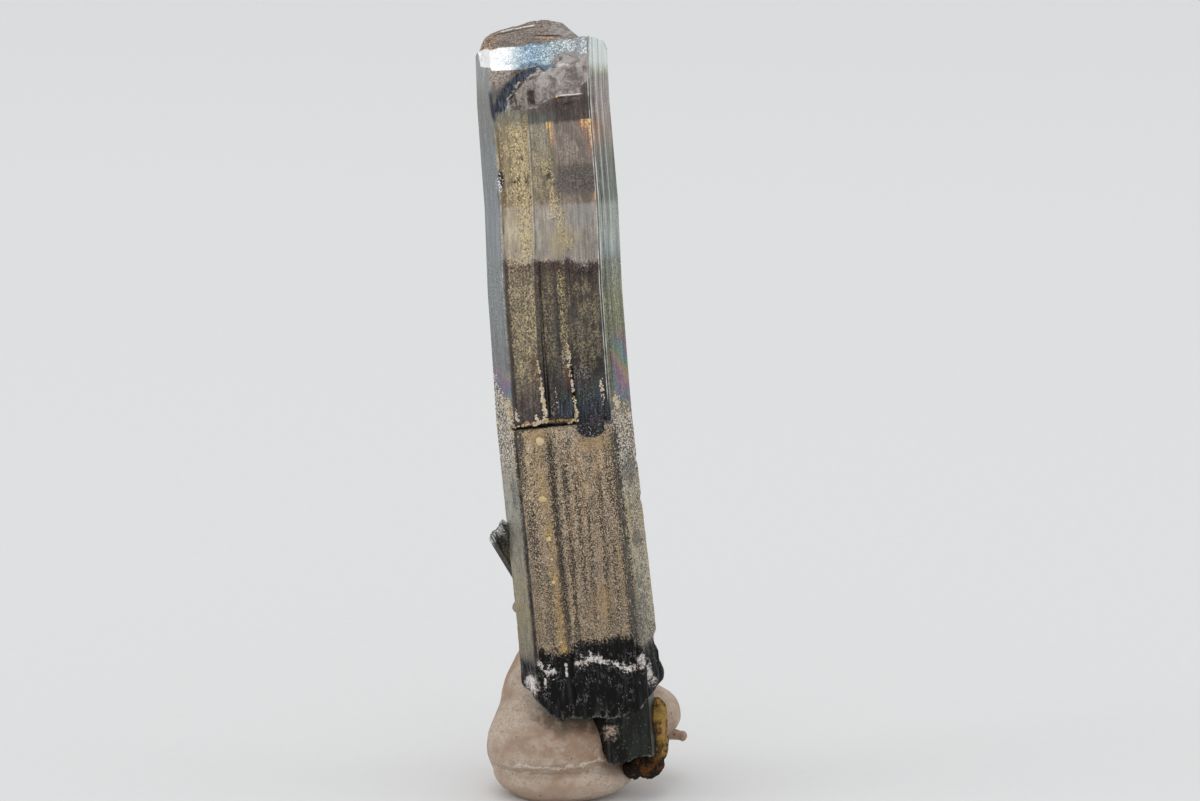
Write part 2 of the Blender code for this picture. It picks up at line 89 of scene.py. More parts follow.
TOP_FACES = (  # end faces: height over the rim is at + slope across + slope back
    (-0.72, 0.16, 1.20), (-0.26, 0.146, 0.837), (2.60, 0.25, 0.0), (4.57, 0.74, 0.0), (10.45, 2.05, 0.0),
    (2.66, -0.30, 0.0), (13.60, -2.70, 0.0), (4.40, 0.10, -0.55), (7.80, 0.00, -1.35),
)
SHOULDER_FACES = ((3.60, -0.86, 0.0), (1.82, -0.16, -0.12))
FRONT_END_RIGHT = 3.50
LEFT_FACE = (6.09, 1.861, 1.173)
SLIVER_AT = -4.74
FOOT_EDGE = (
    (-5.5, 2.6), (-5.1, 2.3), (-4.3, 1.55), (-3.4, 0.45), (-2.5, -0.12), (-2.0, 0.12), (-0.7, 0.0),
    (0.2, 0.05), (1.2, -0.18), (2.1, -0.05), (2.9, 0.1), (3.6, 0.35), (4.2, 0.95), (5.1, 1.4), (5.6, 1.7),
)
FOOT_SPREAD = 8.5
RIM_FROM = 46.2  # from here up the rings follow the slope of the end faces
RING_STEPS = (  # (height, distance between the rings from here up)
    (0.0, 0.13), (3.0, 0.17), (8.6, 0.26), (22.0, 0.085), (24.4, 0.26), (33.0, 0.30), (RIM_FROM, 0.105),
    (RIM_HEIGHT, 0.0),
)
FOOT_RINGS, END_RINGS = 17, 34  # rings that close the foot and the end
SHARP_DEGREES, SMALL_SHARP_DEGREES = 35.0, 30.0  # edges that bend more stay sharp, here and on the prisms
STUB = dict(
    start=(4.10, -4.15, 3.35),
    lean=(4.0, 3.0),
    length=7.6,  # shorter than in the CAD source, since its upper end is hidden in the long prism
    section=((-2.30, 1.50), (-1.15, 0.10), (2.30, -0.05), (2.75, 1.80), (2.20, 4.40), (-1.80, 4.50)),
    edge=((-2.4, 3.2), (-1.2, 0.15), (-0.6, -0.1), (1.2, 0.45), (2.5, 0.5)),
    top=((-2.4, 0.0), (2.8, 0.0)),
    spacing=0.13, ring_count=80, ragged=0.35, seed=141,
)
SIDE = dict(
    start=(-2.60, -1.15, 15.9),
    lean=(30.0, -3.0),
    length=6.0,
    section=((-1.00, 0.75), (-0.55, 0.00), (0.70, -0.05), (1.05, 0.70), (0.60, 1.45), (-0.50, 1.50)),
    edge=((-1.0, 0.0), (1.0, 0.0)),
    top=((-1.0, -0.10), (-0.5, 0.22), (0.0, 0.32), (0.65, 0.68), (0.80, 0.42), (1.05, 0.10)),
    spacing=0.07, ring_count=70, ragged=0.22, seed=151,
)
OCHRE_LUMPS = (  # (centre, half axes)
    ((6.55, -1.55, 6.3), (1.00, 1.35, 1.75)), ((6.70, -1.20, 4.2), (0.95, 1.45, 1.50)),
    ((5.90, -1.60, 2.75), (1.35, 1.30, 1.05)), ((4.85, -1.90, 2.45), (0.75, 0.95, 0.62)),
)
OCHRE_CENTRE, OCHRE_BLEND = (6.35, -1.45, 4.3), 6.0
PUTTY_CENTRE = (0.4, 1.2, 5.2)
PUTTY_LUMPS = (
    ((-1.3, 0.3, 3.8), (5.35, 5.3, 4.4)), ((-0.1, 0.3, 1.7), (5.10, 5.0, 1.9)),
    ((0.4, 2.6, 6.6), (5.9, 4.6, 6.2)), ((0.9, 3.5, 9.6), (4.5, 3.6, 4.2)),
    ((5.2, 3.5, 5.5), (3.6, 3.2, 2.35)),
)
PUTTY_BLEND = 9.0
PUTTY_SIDES, PUTTY_RINGS = 230, 118
NUB_START, NUB_END, NUB_THICK = (7.4, 3.1, 4.0), (9.2, 2.7, 3.75), 0.5
FOLD_HEIGHT, FOLD_TILT = 2.9, 0.05
FOLD_DEEP, FOLD_WIDTH = 0.26, 0.40

# ------------------------------------------------------------------ fine matter and marks on the crystal

# Grainy deposits on the front: (across and height at one end, at the other, spread, grain size, how many)
DEPOSITS = (
    (-1.75, 28.2, -1.55, 26.0, 0.08, 0.075, 34), (-1.62, 26.2, -1.42, 23.35, 0.13, 0.10, 84),
    (-1.40, 23.5, -2.35, 23.30, 0.10, 0.085, 44), (-2.30, 23.35, -4.10, 23.20, 0.07, 0.065, 34),
    (-0.52, 26.0, -0.46, 24.4, 0.05, 0.060, 26), (0.62, 29.4, 0.66, 26.7, 0.16, 0.070, 60),
    (0.80, 26.5, 0.86, 25.6, 0.10, 0.085, 28), (0.86, 25.2, 0.94, 23.30, 0.09, 0.095, 60),
    (0.90, 23.45, 0.25, 23.15, 0.07, 0.07, 22), (3.02, 26.4, 3.08, 24.4, 0.09, 0.080, 46),
    (-3.70, 24.6, -3.62, 23.6, 0.08, 0.075, 24), (-2.30, 23.9, -2.05, 23.5, 0.14, 0.080, 20),
    (-4.55, 25.3, -4.20, 23.8, 0.28, 0.080, 70), (-4.30, 24.4, -4.05, 22.6, 0.22, 0.075, 50),
    (3.95, 25.0, 4.25, 23.9, 0.22, 0.085, 60), (4.70, 24.4, 4.95, 23.0, 0.16, 0.075, 40),
    (4.15, 23.9, 4.60, 21.6, 0.30, 0.060, 60), (-4.60, 23.2, -4.30, 20.0, 0.24, 0.055, 60),
)
GRAIN_FLATNESS = 0.6
NODULES = (  # (across, height, radius)
    (-2.10, 21.95, 0.29), (-2.33, 17.45, 0.34), (-2.22, 14.30, 0.17), (-2.14, 12.70, 0.10),
    (-2.20, 10.90, 0.15), (-2.10, 6.10, 0.10),
)
# Dark streaks down the coated half: (across above, across below, width, lower end, upper end, how dark)
STREAKS = (
    (-4.02, -4.25, 0.34, 3.5, 22.8, 1.0), (-3.62, -3.70, 0.70, 18.0, 22.9, 0.85),
    (-3.30, -3.50, 0.80, 12.5, 17.5, 0.80), (-3.20, -3.35, 0.70, 10.8, 13.0, 0.60),
    (-1.35, -1.60, 0.66, 3.5, 22.6, 1.0), (-0.42, -0.75, 0.46, 6.0, 20.5, 0.85),
    (0.40, 0.20, 0.40, 9.0, 19.0, 0.75), (1.05, 0.75, 0.34, 7.0, 17.0, 0.75),
    (2.15, 1.85, 0.44, 6.5, 19.5, 0.80), (2.75, 2.65, 0.50, 7.0, 15.0, 0.65),
    (3.62, 3.62, 0.74, 4.0, 22.5, 1.0), (3.05, 3.15, 0.80, 15.0, 21.5, 0.65),
    (-2.55, -2.70, 0.55, 5.0, 12.0, 0.55),
)
# The rest of the marks are ellipses: (across, height, half across, half height), and some say how strong.
COAT_PATCHES = (
    (4.55, 18.9, 0.60, 1.3, 1.0), (4.6, 13.4, 0.45, 0.8, 1.0), (4.2, 8.6, 0.9, 3.4, 0.75),
    (-4.5, 17.9, 0.35, 1.5, 1.0), (-3.6, 22.0, 0.40, 0.9, 1.0),
)
HALOES = ((2.0, 21.5, 1.6, 0.9, 1.0), (-2.3, 22.4, 1.3, 0.9, 1.0), (1.6, 9.0, 0.9, 1.9, 0.7))
DUSTED = ((0.50, 28.3, 0.60, 1.0), (1.55, 26.9, 0.90, 0.80), (-0.95, 24.3, 0.40, 0.80))
GOLDEN_TINGE, COOL_TINGE = (0.70, 37.2, 1.5, 1.6), (2.20, 39.3, 1.3, 1.1)
# The curved hollow under the bright end face lies between these two.
CRESCENT_OUTER, CRESCENT_INNER = (0.80, 47.20, 4.75, 3.78), (0.80, 46.90, 3.80, 3.70)
# Powder on the torn foot's left, on the stub's upper left, and smeared on the dark zone above the foot.
FOOT_DUST = (-4.95, 2.45, 0.50, 0.60)
STUB_DUST = (-0.95, 2.60, 0.80, 0.75)
SMEARS = (
    (4.05, 3.95, 0.48, 0.85), (4.50, 3.00, 0.42, 0.95), (4.80, 2.20, 0.30, 0.50),
    (-4.60, 2.85, 0.66, 0.90), FOOT_DUST, (-1.88, 3.95, 0.13, 0.70), (-3.60, 3.05, 0.16, 0.45),
)
# The line of powder along the top of the dark foot: (across, height, half its thickness)
POWDER_LINE = (
    (-4.20, 4.65, 0.02), (-3.98, 4.55, 0.24), (-3.55, 3.98, 0.34), (-2.90, 3.78, 0.26),
    (-2.55, 3.80, 0.01), (-1.30, 4.25, 0.01), (-1.00, 4.35, 0.20), (-0.38, 4.52, 0.36),
    (0.10, 4.70, 0.42), (0.93, 4.42, 0.28), (1.42, 4.20, 0.10), (1.90, 4.08, 0.24), (2.60, 3.72, 0.28),
    (3.00, 3.58, 0.22), (3.45, 3.72, 0.24), (3.80, 4.00, 0.12), (4.00, 4.10, 0.01),
)
# Painted copper glints on upright edges: (across, width, lower end, upper end, softness of the ends, how
# strong)
COPPER_GLINTS = (
    (3.38, 0.24, 40.2, 41.0, 0.5, 0.9), (-0.62, 0.20, 35.9, 36.1, 0.12, 0.8),
    (0.10, 0.12, 34.9, 36.1, 0.4, 0.35), (3.40, 0.24, 35.85, 36.1, 0.12, 0.9),
    (1.02, 0.36, 48.28, 48.60, 0.12, 1.0),
)
# The pale band is partly the tarnish's own colour and partly a painted reflection of a softbox.
REFLECTED_BAND = (35.9, 40.1)  # the pale band across the upper half lies between these heights

# ------------------------------------------------------------------ colours, and noises used more than once

GAIN = 1.27  # the surroundings reflect at about 1 / GAIN, so a metal's own colour is that much lighter
GLARE = 0.82  # the bright end face mirrors the softbox above, so its own colour is that much darker
FINE, SCRATCHES = (7.6, 7.6, 6.2), (8.0, 8.0, 0.55)  # lumps to the millimetre: across, back and up
CRUMPLED = (1.15, 4.0, 0.62, 0.5)

# Colours as the photo shows them, 0 to 255. Up the front: (height, at the left, in the middle, at the right)
# Its rows from 35.9 to 40.02 are the pale band: partly tarnish, partly a painted reflection of a softbox.
FRONT_TONES = (
    (23.0, (84, 74, 68), (60, 55, 55), (48, 47, 49)), (25.0, (92, 82, 76), (66, 62, 61), (53, 52, 53)),
    (27.0, (104, 97, 88), (76, 72, 68), (63, 60, 58)), (31.0, (116, 108, 95), (82, 77, 72), (86, 81, 74)),
    (34.6, (116, 107, 96), (82, 75, 69), (82, 74, 68)), (35.0, (102, 90, 84), (74, 64, 60), (62, 54, 53)),
    (35.6, (100, 88, 84), (78, 68, 64), (66, 58, 57)),
    (35.9, (160, 150, 136), (148, 140, 132), (140, 132, 126)),
    (38.0, (172, 161, 142), (157, 149, 137), (147, 140, 131)),
    (40.02, (166, 154, 136), (156, 147, 136), (151, 144, 136)),
    (40.14, (150, 137, 113), (145, 133, 116), (128, 116, 106)),
    (42.8, (148, 135, 112), (130, 120, 104), (124, 113, 105)),
    (43.4, (152, 139, 114), (139, 129, 113), (129, 118, 110)),
    (46.35, (146, 134, 112), (139, 133, 120), (132, 121, 114)),
    (46.45, (132, 125, 108), (107, 107, 100), (86, 77, 74)),
    (47.7, (112, 110, 102), (94, 87, 83), (79, 70, 67)),
    (48.6, (118, 111, 105), (114, 106, 100), (96, 86, 81)),
    (51.0, (140, 132, 126), (136, 128, 122), (112, 103, 98)),
)
# Up the left and right bevels and the coat: (height, colour)
LEFT_TONES = (
    (4.4, (40, 42, 42)), (5.2, (112, 105, 84)), (9.0, (138, 128, 101)), (15.0, (140, 135, 123)),
    (18.0, (156, 153, 144)), (21.5, (132, 125, 113)), (25.4, (134, 127, 118)), (25.9, (108, 106, 118)),
    (27.5, (118, 118, 122)), (31.0, (126, 129, 128)), (38.0, (135, 139, 141)), (44.0, (128, 131, 132)),
    (48.0, (128, 127, 124)), (51.0, (152, 153, 152)),
)
RIGHT_TONES = (
    (4.8, (60, 60, 58)), (5.6, (124, 120, 108)), (9.0, (160, 156, 140)), (15.0, (144, 136, 116)),
    (20.0, (122, 115, 104)), (23.6, (124, 118, 110)), (24.4, (111, 110, 102)), (27.5, (117, 116, 102)),
    (29.0, (111, 111, 96)), (32.5, (119, 118, 98)), (35.6, (124, 128, 118)), (36.4, (144, 151, 150)),
    (38.0, (150, 154, 147)), (39.9, (144, 148, 141)), (40.3, (115, 120, 115)), (43.0, (111, 113, 107)),
    (46.0, (140, 130, 122)), (48.0, (146, 139, 137)), (49.9, (152, 146, 140)), (50.3, (178, 182, 170)),
    (50.9, (204, 211, 208)), (52.5, (206, 214, 212)),
)
COAT_TONES = (
    (4.0, (112, 99, 80)), (9.0, (137, 120, 99)), (15.5, (140, 122, 101)), (19.0, (134, 117, 96)),
    (21.5, (139, 122, 101)), (23.2, (146, 129, 107)),
)
# Through one round of thin-film colours, on the bevels and on the laths
FILM_TONES = (
    (0.0, (100, 128, 108)), (0.20, (84, 138, 140)), (0.40, (92, 104, 150)), (0.60, (156, 92, 140)),
    (0.80, (168, 140, 106)), (1.0, (100, 128, 108)),
)
LATH_TONES = (
    (0.0, (46, 48, 52)), (0.35, (54, 58, 66)), (0.6, (60, 68, 60)), (0.8, (68, 56, 66)),
    (1.0, (46, 48, 52)),
)
# Along the bright end face: (across, colour)
BAND_TONES = (
    (-5.0, (255, 255, 255)), (-3.0, (252, 253, 254)), (-2.5, (216, 224, 228)), (-1.9, (172, 192, 202)),
    (-1.0, (122, 154, 178)), (-0.2, (128, 156, 172)), (0.7, (150, 168, 172)), (1.5, (164, 172, 172)),
    (3.2, (170, 175, 176)), (5.0, (184, 190, 188)),
)

# ------------------------------------------------------------------ light and camera

LIGHTS = (  # (name, azimuth, elevation, distance, size, power), in degrees, metres and watts
    ("softbox_top", -12.0, 78.0, 2.4, 1.1, 6.4), ("softbox_left", -75.0, 35.0, 2.6, 1.2, 7.0),
    ("softbox_right", 80.0, 30.0, 2.8, 1.2, 5.0),
)
LIGHTS_AIM, FLOOR_RADIUS = (0.0, 0.0, 0.04), 5.0  # in metres
WORLD_COLOUR, WORLD_STRENGTH = (0.98, 0.99, 1.0, 1.0), 0.78
CAMERA_TARGET, CAMERA_ELEVATION, CAMERA_DISTANCE = (2.26, 0.0, 31.5), 10.0, 320.0  # in mm and degrees
CAMERA_LENS, CAMERA_SENSOR = 123.0, 36.0
CAMERA_SEES = (0.01, 50.0)  # nearest and farthest, in metres

# ------------------------------------------------------------------ small helpers for shapes


def smooth_step(x):
    """0 below 0, 1 above 1, and a smooth rise between."""
    x = np.clip(x, 0.0, 1.0)
    return x * x * (3.0 - 2.0 * x)


def between(x, low, high, soft):
    """1 from low to high and 0 outside, over soft at each end."""
    return smooth_step((x - low) / soft + 0.5) * smooth_step((high - x) / soft + 0.5)


def arch(x, at, half):
    """1 at a place and 0 beyond half a width, round between."""
    return np.clip(1.0 - ((x - at) / half) ** 2, 0.0, 1.0)


def wedge(x, at, width):
    """1 at a place and 0 beyond half the width, straight between."""
    return np.clip(1.0 - np.abs(x - at) / (0.5 * width), 0.0, 1.0)


def corner_value(x, y, z, seed):
    """A fixed pseudo-random number from 0 to 1 for each corner of a lattice."""
    n = x * 374761393 + y * 668265263 + z * 1440662683 + seed * 974711
    n = (n ^ (n >> 13)) * 1274126177
    return ((n ^ (n >> 16)) & 0xFFFF) / 65535.0


def grain(x, y, z, seed):
    """Smooth noise from -1 to 1 with lumps one unit across."""
    x, y, z = np.broadcast_arrays(x, y, z)
    cells = [np.floor(a).astype(np.int64) for a in (x, y, z)]
    shares = [smooth_step(a - cell) for a, cell in zip((x, y, z), cells)]
    total = 0.0
    for corner in np.ndindex(2, 2, 2):
        weight = 1.0
        for step, share in zip(corner, shares):
            weight = weight * (share if step else 1.0 - share)
        total = total + weight * corner_value(*[cell + step for cell, step in zip(cells, corner)], seed)
    return 2.0 * total - 1.0


def rugged(x, y, z, octaves, seed):
    """Noise with finer lumps added on, each half as high."""
    total, size, high = 0.0, 1.0, 0.5
    for k in range(octaves):
        total = total + high * grain(x * size, y * size, z * size, seed + k)
        size, high = size * 2.03, high * 0.5
    return total


def leans(height, bends):
    """Lean to the left and lean back, in radians, at each height along a bent axis."""
    left = np.full(np.shape(height), bends[0][1])
    back = np.full(np.shape(height), bends[0][2])
    for before, after in zip(bends, bends[1:]):
        turned = smooth_step((height - after[0]) / BEND_SPREAD + 0.5)
        left = left + (after[1] - before[1]) * turned
        back = back + (after[2] - before[2]) * turned
    return np.radians(left), np.radians(back)


def axis_directions(height, bends):
    """Unit vectors up the axis, across the front face and back from it."""
    left, back = leans(height, bends)
    up = np.stack([-np.tan(left), np.tan(back), np.ones_like(left)], -1)
    up /= np.linalg.norm(up, axis=-1, keepdims=True)
    across = np.array([1.0, 0.0, 0.0]) - up[..., :1] * up
    across /= np.linalg.norm(across, axis=-1, keepdims=True)
    return up, across, np.cross(up, across)


def place(across, depth, height, start, bends):
    """Points of a crystal's own frame in the world, in millimetres."""
    steps = np.arange(*AXIS_REACH, AXIS_STEP)
    up, _, _ = axis_directions(steps, bends)
    path = np.cumsum(up, axis=0) * AXIS_STEP
    path -= np.array([np.interp(0.0, steps, path[:, i]) for i in range(3)])
    on_axis = np.stack([np.interp(height, steps, path[:, i]) for i in range(3)], -1)
    _, across_way, depth_way = axis_directions(height, bends)
    return np.array(start) + on_axis + across[..., None] * across_way + depth[..., None] * depth_way


def walk_round(corners, spacing_at):
    """Points along a section's outline, corners included, and the outward normal at each."""
    points, normals = [], []
    corners = [Vector(corner) for corner in corners]
    ways = [after - corner for corner, after in zip(corners, corners[1:] + corners[:1])]
    sides = [Vector((w.y, -w.x)).normalized() for w in ways]
    for i, (start, way) in enumerate(zip(corners, ways)):
        pieces = max(1, round(way.length / spacing_at(start + way * 0.5)))
        points += [start + way * (k / pieces) for k in range(pieces)]
        normals += [(sides[i] + sides[i - 1]).normalized()] + [sides[i]] * (pieces - 1)
    return np.array(points), np.array(normals)


# ------------------------------------------------------------------ relief of the main crystal


def groove_depth(across, height, grooves):
    """How far the grooves go in at a place on a face."""
    depth = np.zeros(np.broadcast(across, height).shape)
    for at, width, deep, low, high in grooves:
        wander = 0.05 * grain(height * 0.35, at * 7.0, 0.0, 5)
        depth = np.maximum(depth, deep * wedge(across - at, wander, width) * between(height, low, high, 1.2))
    return depth


def lath_height(across, height):
    """How far the laths of the upper half stand out over the coated lower half."""
    proud = np.zeros(np.broadcast(across, height).shape)
    for left, right, low, out in LATHS:
        from_middle = np.abs(across - 0.5 * (left + right)) / (0.5 * (right - left))
        end = low + LATH_END_ROUND * np.clip(from_middle, 0.0, 1.0) ** 3
        end = end + 0.05 * grain(across * 4.0, 0.0, 0.0, 9)
        inside = between(across, left, right, 0.10) * smooth_step((height - end) / 0.12 + 0.5)
        proud = np.maximum(proud, out * inside * smooth_step((LATH_TOP - height) / LATH_FADE))
    return proud


def hollow_depth(across, height):
    """The curved hollow under the bright end face, less the rough mass that stands out inside its curve."""
    right = across - HOLLOW_CENTRE[0] + 0.16 * rugged(across * 1.7, height * 1.7, 0.0, 3, 21)
    up = height - HOLLOW_CENTRE[1] + 0.16 * rugged(across * 1.7, height * 1.7, 4.0, 3, 22)
    away = np.hypot(right, up)
    turn = np.degrees(np.arctan2(up, -right))
    wide = HOLLOW_WIDTH * (0.45 + 0.55 * np.clip(1.0 - turn / 90.0, 0.0, 1.0))
    hollow = HOLLOW_DEEP * between(turn, *HOLLOW_TURN, 34.0) * arch(away, HOLLOW_RADIUS, wide)
    inside = smooth_step((HOLLOW_RADIUS - 0.3 - away) / 0.25) + between(across, 0.0, 3.2, 0.3)
    bottom = MASS_BOTTOM + MASS_WAVE * np.sin(2.4 * across + 0.6)
    mass = np.clip(inside, 0.0, 1.0) * between(height, bottom, RIM_HEIGHT - 0.9, 0.25)
    lumps = 0.11 * rugged(across * 1.3, height * 1.3, 0.0, 4, 25)
    return hollow - (MASS_OUT + lumps) * mass


def crack_depth(across, height):
    """The crack that crosses the front below the laths."""
    at = CRACK_AT + 0.08 * grain(across * 1.6, 0.0, 0.0, 31)
    return CRACK_DEEP * wedge(height, at, CRACK_WIDTH) * between(across, *CRACK_ENDS, 0.3)


def by_face(across, left, right, front):
    """One of three values: for the left bevel, the right bevel and what lies between them."""
    return np.where(across < BEVELS[0], left, np.where(across > BEVELS[1], right, front))


def coat_top(across, depth):
    """Height up to which the grainy coat reaches: to the crack, and raggedly higher on the bevels."""
    return by_face(across, 25.6, 25.2, 23.1) + 0.5 * rugged(across * 2.2, depth * 2.2, 0.0, 3, 41)


def main_relief(points, height):
    """How far the main crystal's surface goes in, at outline points and heights."""
    across, depth = points[..., 0], points[..., 1]
    on_front = groove_depth(across, height, FRONT_GROOVES) - lath_height(across, height)
    on_front = on_front + hollow_depth(across, height) + crack_depth(across, height)
    on_back = groove_depth(across, height, BACK_GROOVES)
    relief = np.where(depth < FRONT_DEPTH, on_front, on_back)
    for at, half, deep in EDGE_CHIPS:
        relief = relief + deep * arch(height, at, half) * smooth_step((across - 4.3) / 0.5)
    left_bump = LEFT_BUMP_OUT * arch(height, LEFT_BUMP_AT, LEFT_BUMP_HALF)
    relief = relief - left_bump * smooth_step((-4.9 - across) / 0.3)
    # Lengthwise striations, strong on the right bevel and the back, weak on the left bevel.
    ribs = rugged(across * 5.2 + depth * 1.7, height * 0.05, depth * 4.1, 3, 51)
    relief = relief + np.where(depth > FRONT_DEPTH, 0.060, by_face(across, 0.012, 0.055, 0.030)) * ribs
    # The coat's grains, and the torn, splintery surface of the fresh zone above the foot.
    coated = smooth_step((coat_top(across, depth) - height) / 0.3) * smooth_step((height - 4.6) / 0.5)
    relief = relief - 0.040 * coated * rugged(across * 4.6, height * 3.9, depth * 4.6, 2, 61)
    torn = smooth_step((4.8 - height) / 0.6)
    return relief + 0.085 * torn * rugged(across * 3.1, height * 0.7, depth * 3.1, 3, 71)


def foot_height(across, depth):
    """Height of the broken lower end, rough like a torn edge."""
    edge = np.interp(across, *zip(*FOOT_EDGE))
    rough = 0.35 * np.sin(2.1 * across + 1.3 * depth) + 0.25 * np.sin(3.7 * depth - 1.9 * across)
    fine = 0.16 * rugged(across * 2.3, depth * 1.6, 0.0, 4, 81)
    return edge + smooth_step(depth / 2.5) * (0.6 + rough) + fine


def end_height(across, depth):
    """Height of the upper end over the axis' start: the lowest of its faces, less the missing block.

    The two front faces run across the front only. On the left bevel a face of the same steepness takes
    over, up to a thin sliver at the outer edge, and on the right the bevel runs up to the shoulder.
    """
    def over(face):
        at, slope, back = face
        return at + slope * across + back * depth

    faces = [over(face) for face in TOP_FACES]
    front = np.minimum(faces[0], faces[1]) + 3.0 * smooth_step((across - FRONT_END_RIGHT) / 0.12)
    left = np.maximum(over(LEFT_FACE), 6.0 * (SLIVER_AT - across) - 1.1)
    high = np.min([front, left, *faces[2:]], axis=0)
    high = np.minimum(high, np.max([over(face) for face in SHOULDER_FACES], axis=0))
    polished = smooth_step((1.3 - depth) / 0.15) * smooth_step((2.4 - across) / 2.0)
    rough = 0.13 * rugged(across * 1.3, depth * 1.3, 0.0, 4, 91) * (1.0 - 0.85 * polished)
    ledge = 0.05 * np.tanh(5.0 * np.sin(depth * 2.2 + 0.35 * across + grain(across * 0.7, depth, 0.0, 93)))
    return RIM_HEIGHT + high + rough + ledge * (1.0 - polished)


# ------------------------------------------------------------------ meshes


def in_scene(name, data):
    """A new object in the scene."""
    obj = bpy.data.objects.new(name, data)
    bpy.context.scene.collection.objects.link(obj)
    return obj


def new_object(name, points, faces, materials, sharp_degrees=180.0, slots=None, own_frame=None):
    """A mesh object from points in millimetres. own_frame holds each point's (across, depth, height)."""
    mesh = bpy.data.meshes.new(name)
    mesh.from_pydata((np.asarray(points) * MM).tolist(), [], faces)
    for material in materials:
        mesh.materials.append(material)
    if slots is not None:
        mesh.polygons.foreach_set("material_index", slots)
        held = mesh.attributes.new("crystal", "FLOAT_VECTOR", "POINT")
        held.data.foreach_set("vector", np.asarray(own_frame, np.float32).ravel())
    mesh.shade_smooth()
    mesh.set_sharp_from_angle(angle=math.radians(sharp_degrees))
    return in_scene(name, mesh)


def loft(name, rings, own_rings, materials, wall_rings, sharp_degrees):
    """A closed body through rings of equal point counts. The slots are 0 on the wall, 1 above, 2 below."""
    count = len(rings[0])
    points, own = (
        np.concatenate([*some, [some[0].mean(axis=0)], [some[-1].mean(axis=0)]])
        for some in (rings, own_rings)
    )
    foot, top = len(points) - 2, len(points) - 1
    low, high = wall_rings
    here = np.arange(count)
    following = (here + 1) % count
    level = np.arange(len(rings) - 1)[:, None] * count
    a, b = level + here, level + following
    quads = np.stack([a, b, b + count, a + count], -1)
    lower, upper = quads[:high].reshape(-1, 4), quads[high:].reshape(-1, 4)
    # Over the rim each square is parted along its higher diagonal, which keeps the ridges of the end sharp.
    z = points[:, 2][upper]
    split = np.where((z[:, 0] + z[:, 2] > z[:, 1] + z[:, 3])[:, None], upper, np.roll(upper, -1, axis=1))
    upper = np.concatenate([split[:, [0, 1, 2]], split[:, [0, 2, 3]]])
    last = level[-1] + count
    below = np.column_stack([np.full(count, foot), following, here])
    above = np.column_stack([np.full(count, top), last + here, last + following])
    faces = [face for some in (lower, upper, below, above) for face in some.tolist()]
    slots = [2] * (low * count) + [0] * ((high - low) * count) + [1] * len(upper) + [2] * count + [1] * count
    return new_object(name, points, faces, materials, sharp_degrees, slots, own)


def ring_heights():
    """Heights of the main crystal's rings, close together where there is most to show."""
    heights = []
    for (low, step), (high, _) in zip(RING_STEPS, RING_STEPS[1:]):
        heights += list(np.linspace(low, high, round((high - low) / step), endpoint=False))
    return np.array([*heights, RIM_HEIGHT])


def width_at(height):
    """The main crystal's width at a height, as a share of its section's."""
    return np.interp(height, [0.0, RIM_HEIGHT], [WIDTH_AT_FOOT, WIDTH_AT_TOP])


def main_crystal(materials):
    """The long bent prism: its torn foot, its wall and the faces of its end."""
    outline, normals = walk_round(MAIN_SECTION, lambda middle: 0.105 if middle.y < 2.4 else 0.18)
    centre = np.mean(MAIN_SECTION, axis=0)

    def wall_points(height):
        return outline * width_at(height)[..., None] - normals * main_relief(outline, height)[..., None]

    foot = foot_height(outline[:, 0], outline[:, 1])
    rim = wall_points(np.full(len(outline), RIM_HEIGHT))
    over = end_height(rim[:, 0], rim[:, 1]) - RIM_HEIGHT
    start = centre + (outline - centre) * WIDTH_AT_FOOT
    below = centre + (start - centre) * np.linspace(0.0, 1.0, FOOT_RINGS)[1:-1, None, None]
    nominal = ring_heights()[:, None]
    wall_height = nominal + foot * smooth_step(1.0 - nominal / FOOT_SPREAD)
    wall_height = wall_height + over * np.clip((nominal - RIM_FROM) / (RIM_HEIGHT - RIM_FROM), 0.0, 1.0)
    wall = wall_points(wall_height)
    inward = 1.0 - np.linspace(0.0, 1.0, END_RINGS)[1:-1, None, None] ** 1.15
    above = centre + (wall[-1] - centre) * inward
    points = np.concatenate([below, wall, above])
    height = np.concatenate([
        foot_height(below[..., 0], below[..., 1]), wall_height, end_height(above[..., 0], above[..., 1])
    ])
    rings = place(points[..., 0], points[..., 1], height, MAIN_START, MAIN_BENDS)
    own_rings = np.concatenate([points, height[..., None]], -1)
    wall_rings = (len(below), len(below) + len(wall) - 1)
    return loft("stibnite_main", rings, own_rings, materials, wall_rings, SHARP_DEGREES)


def prism(name, material, start, lean, length, section, edge, top, spacing, ring_count, ragged, seed):
    """A small straight crystal, broken along one edge below and another above."""
    outline, normals = walk_round(section, lambda middle: spacing)
    centre = np.mean(section, axis=0)
    rings, own_rings = [], []
    caps = np.linspace(0.0, 1.0, 9)[1:-1]
    levels = [(share, 0.0) for share in caps]
    levels += [(1.0, up_share) for up_share in np.linspace(0.0, 1.0, ring_count)]
    levels += [(share, 1.0) for share in caps[::-1]]
    for share, up_share in levels:
        points = centre + (outline - centre) * share
        across, depth = points.T
        splinters = 0.4 * ragged * rugged(across * 3.2, depth * 3.2, 0.0, 3, seed)
        uneven = ragged * np.sin(2.3 * across + 1.7 * depth + 0.6)
        low = np.interp(across, *zip(*edge)) + 0.5 * uneven * smooth_step(depth / 1.5) + splinters
        high = length + np.interp(across, *zip(*top)) + 2.0 * splinters
        height = low + (high - low) * up_share
        ribs = 0.05 * rugged(across * 4.0, height * 0.15, depth * 4.0, 3, seed + 3)
        points = points + normals * (ribs * share)[:, None]
        rings.append(place(points[:, 0], points[:, 1], height, start, ((0.0, *lean),)))
        own_rings.append(np.column_stack([points, height]))
    wall_rings = (len(caps), len(caps) + ring_count - 1)
    return loft(name, rings, own_rings, [material] * 3, wall_rings, SMALL_SHARP_DEGREES)


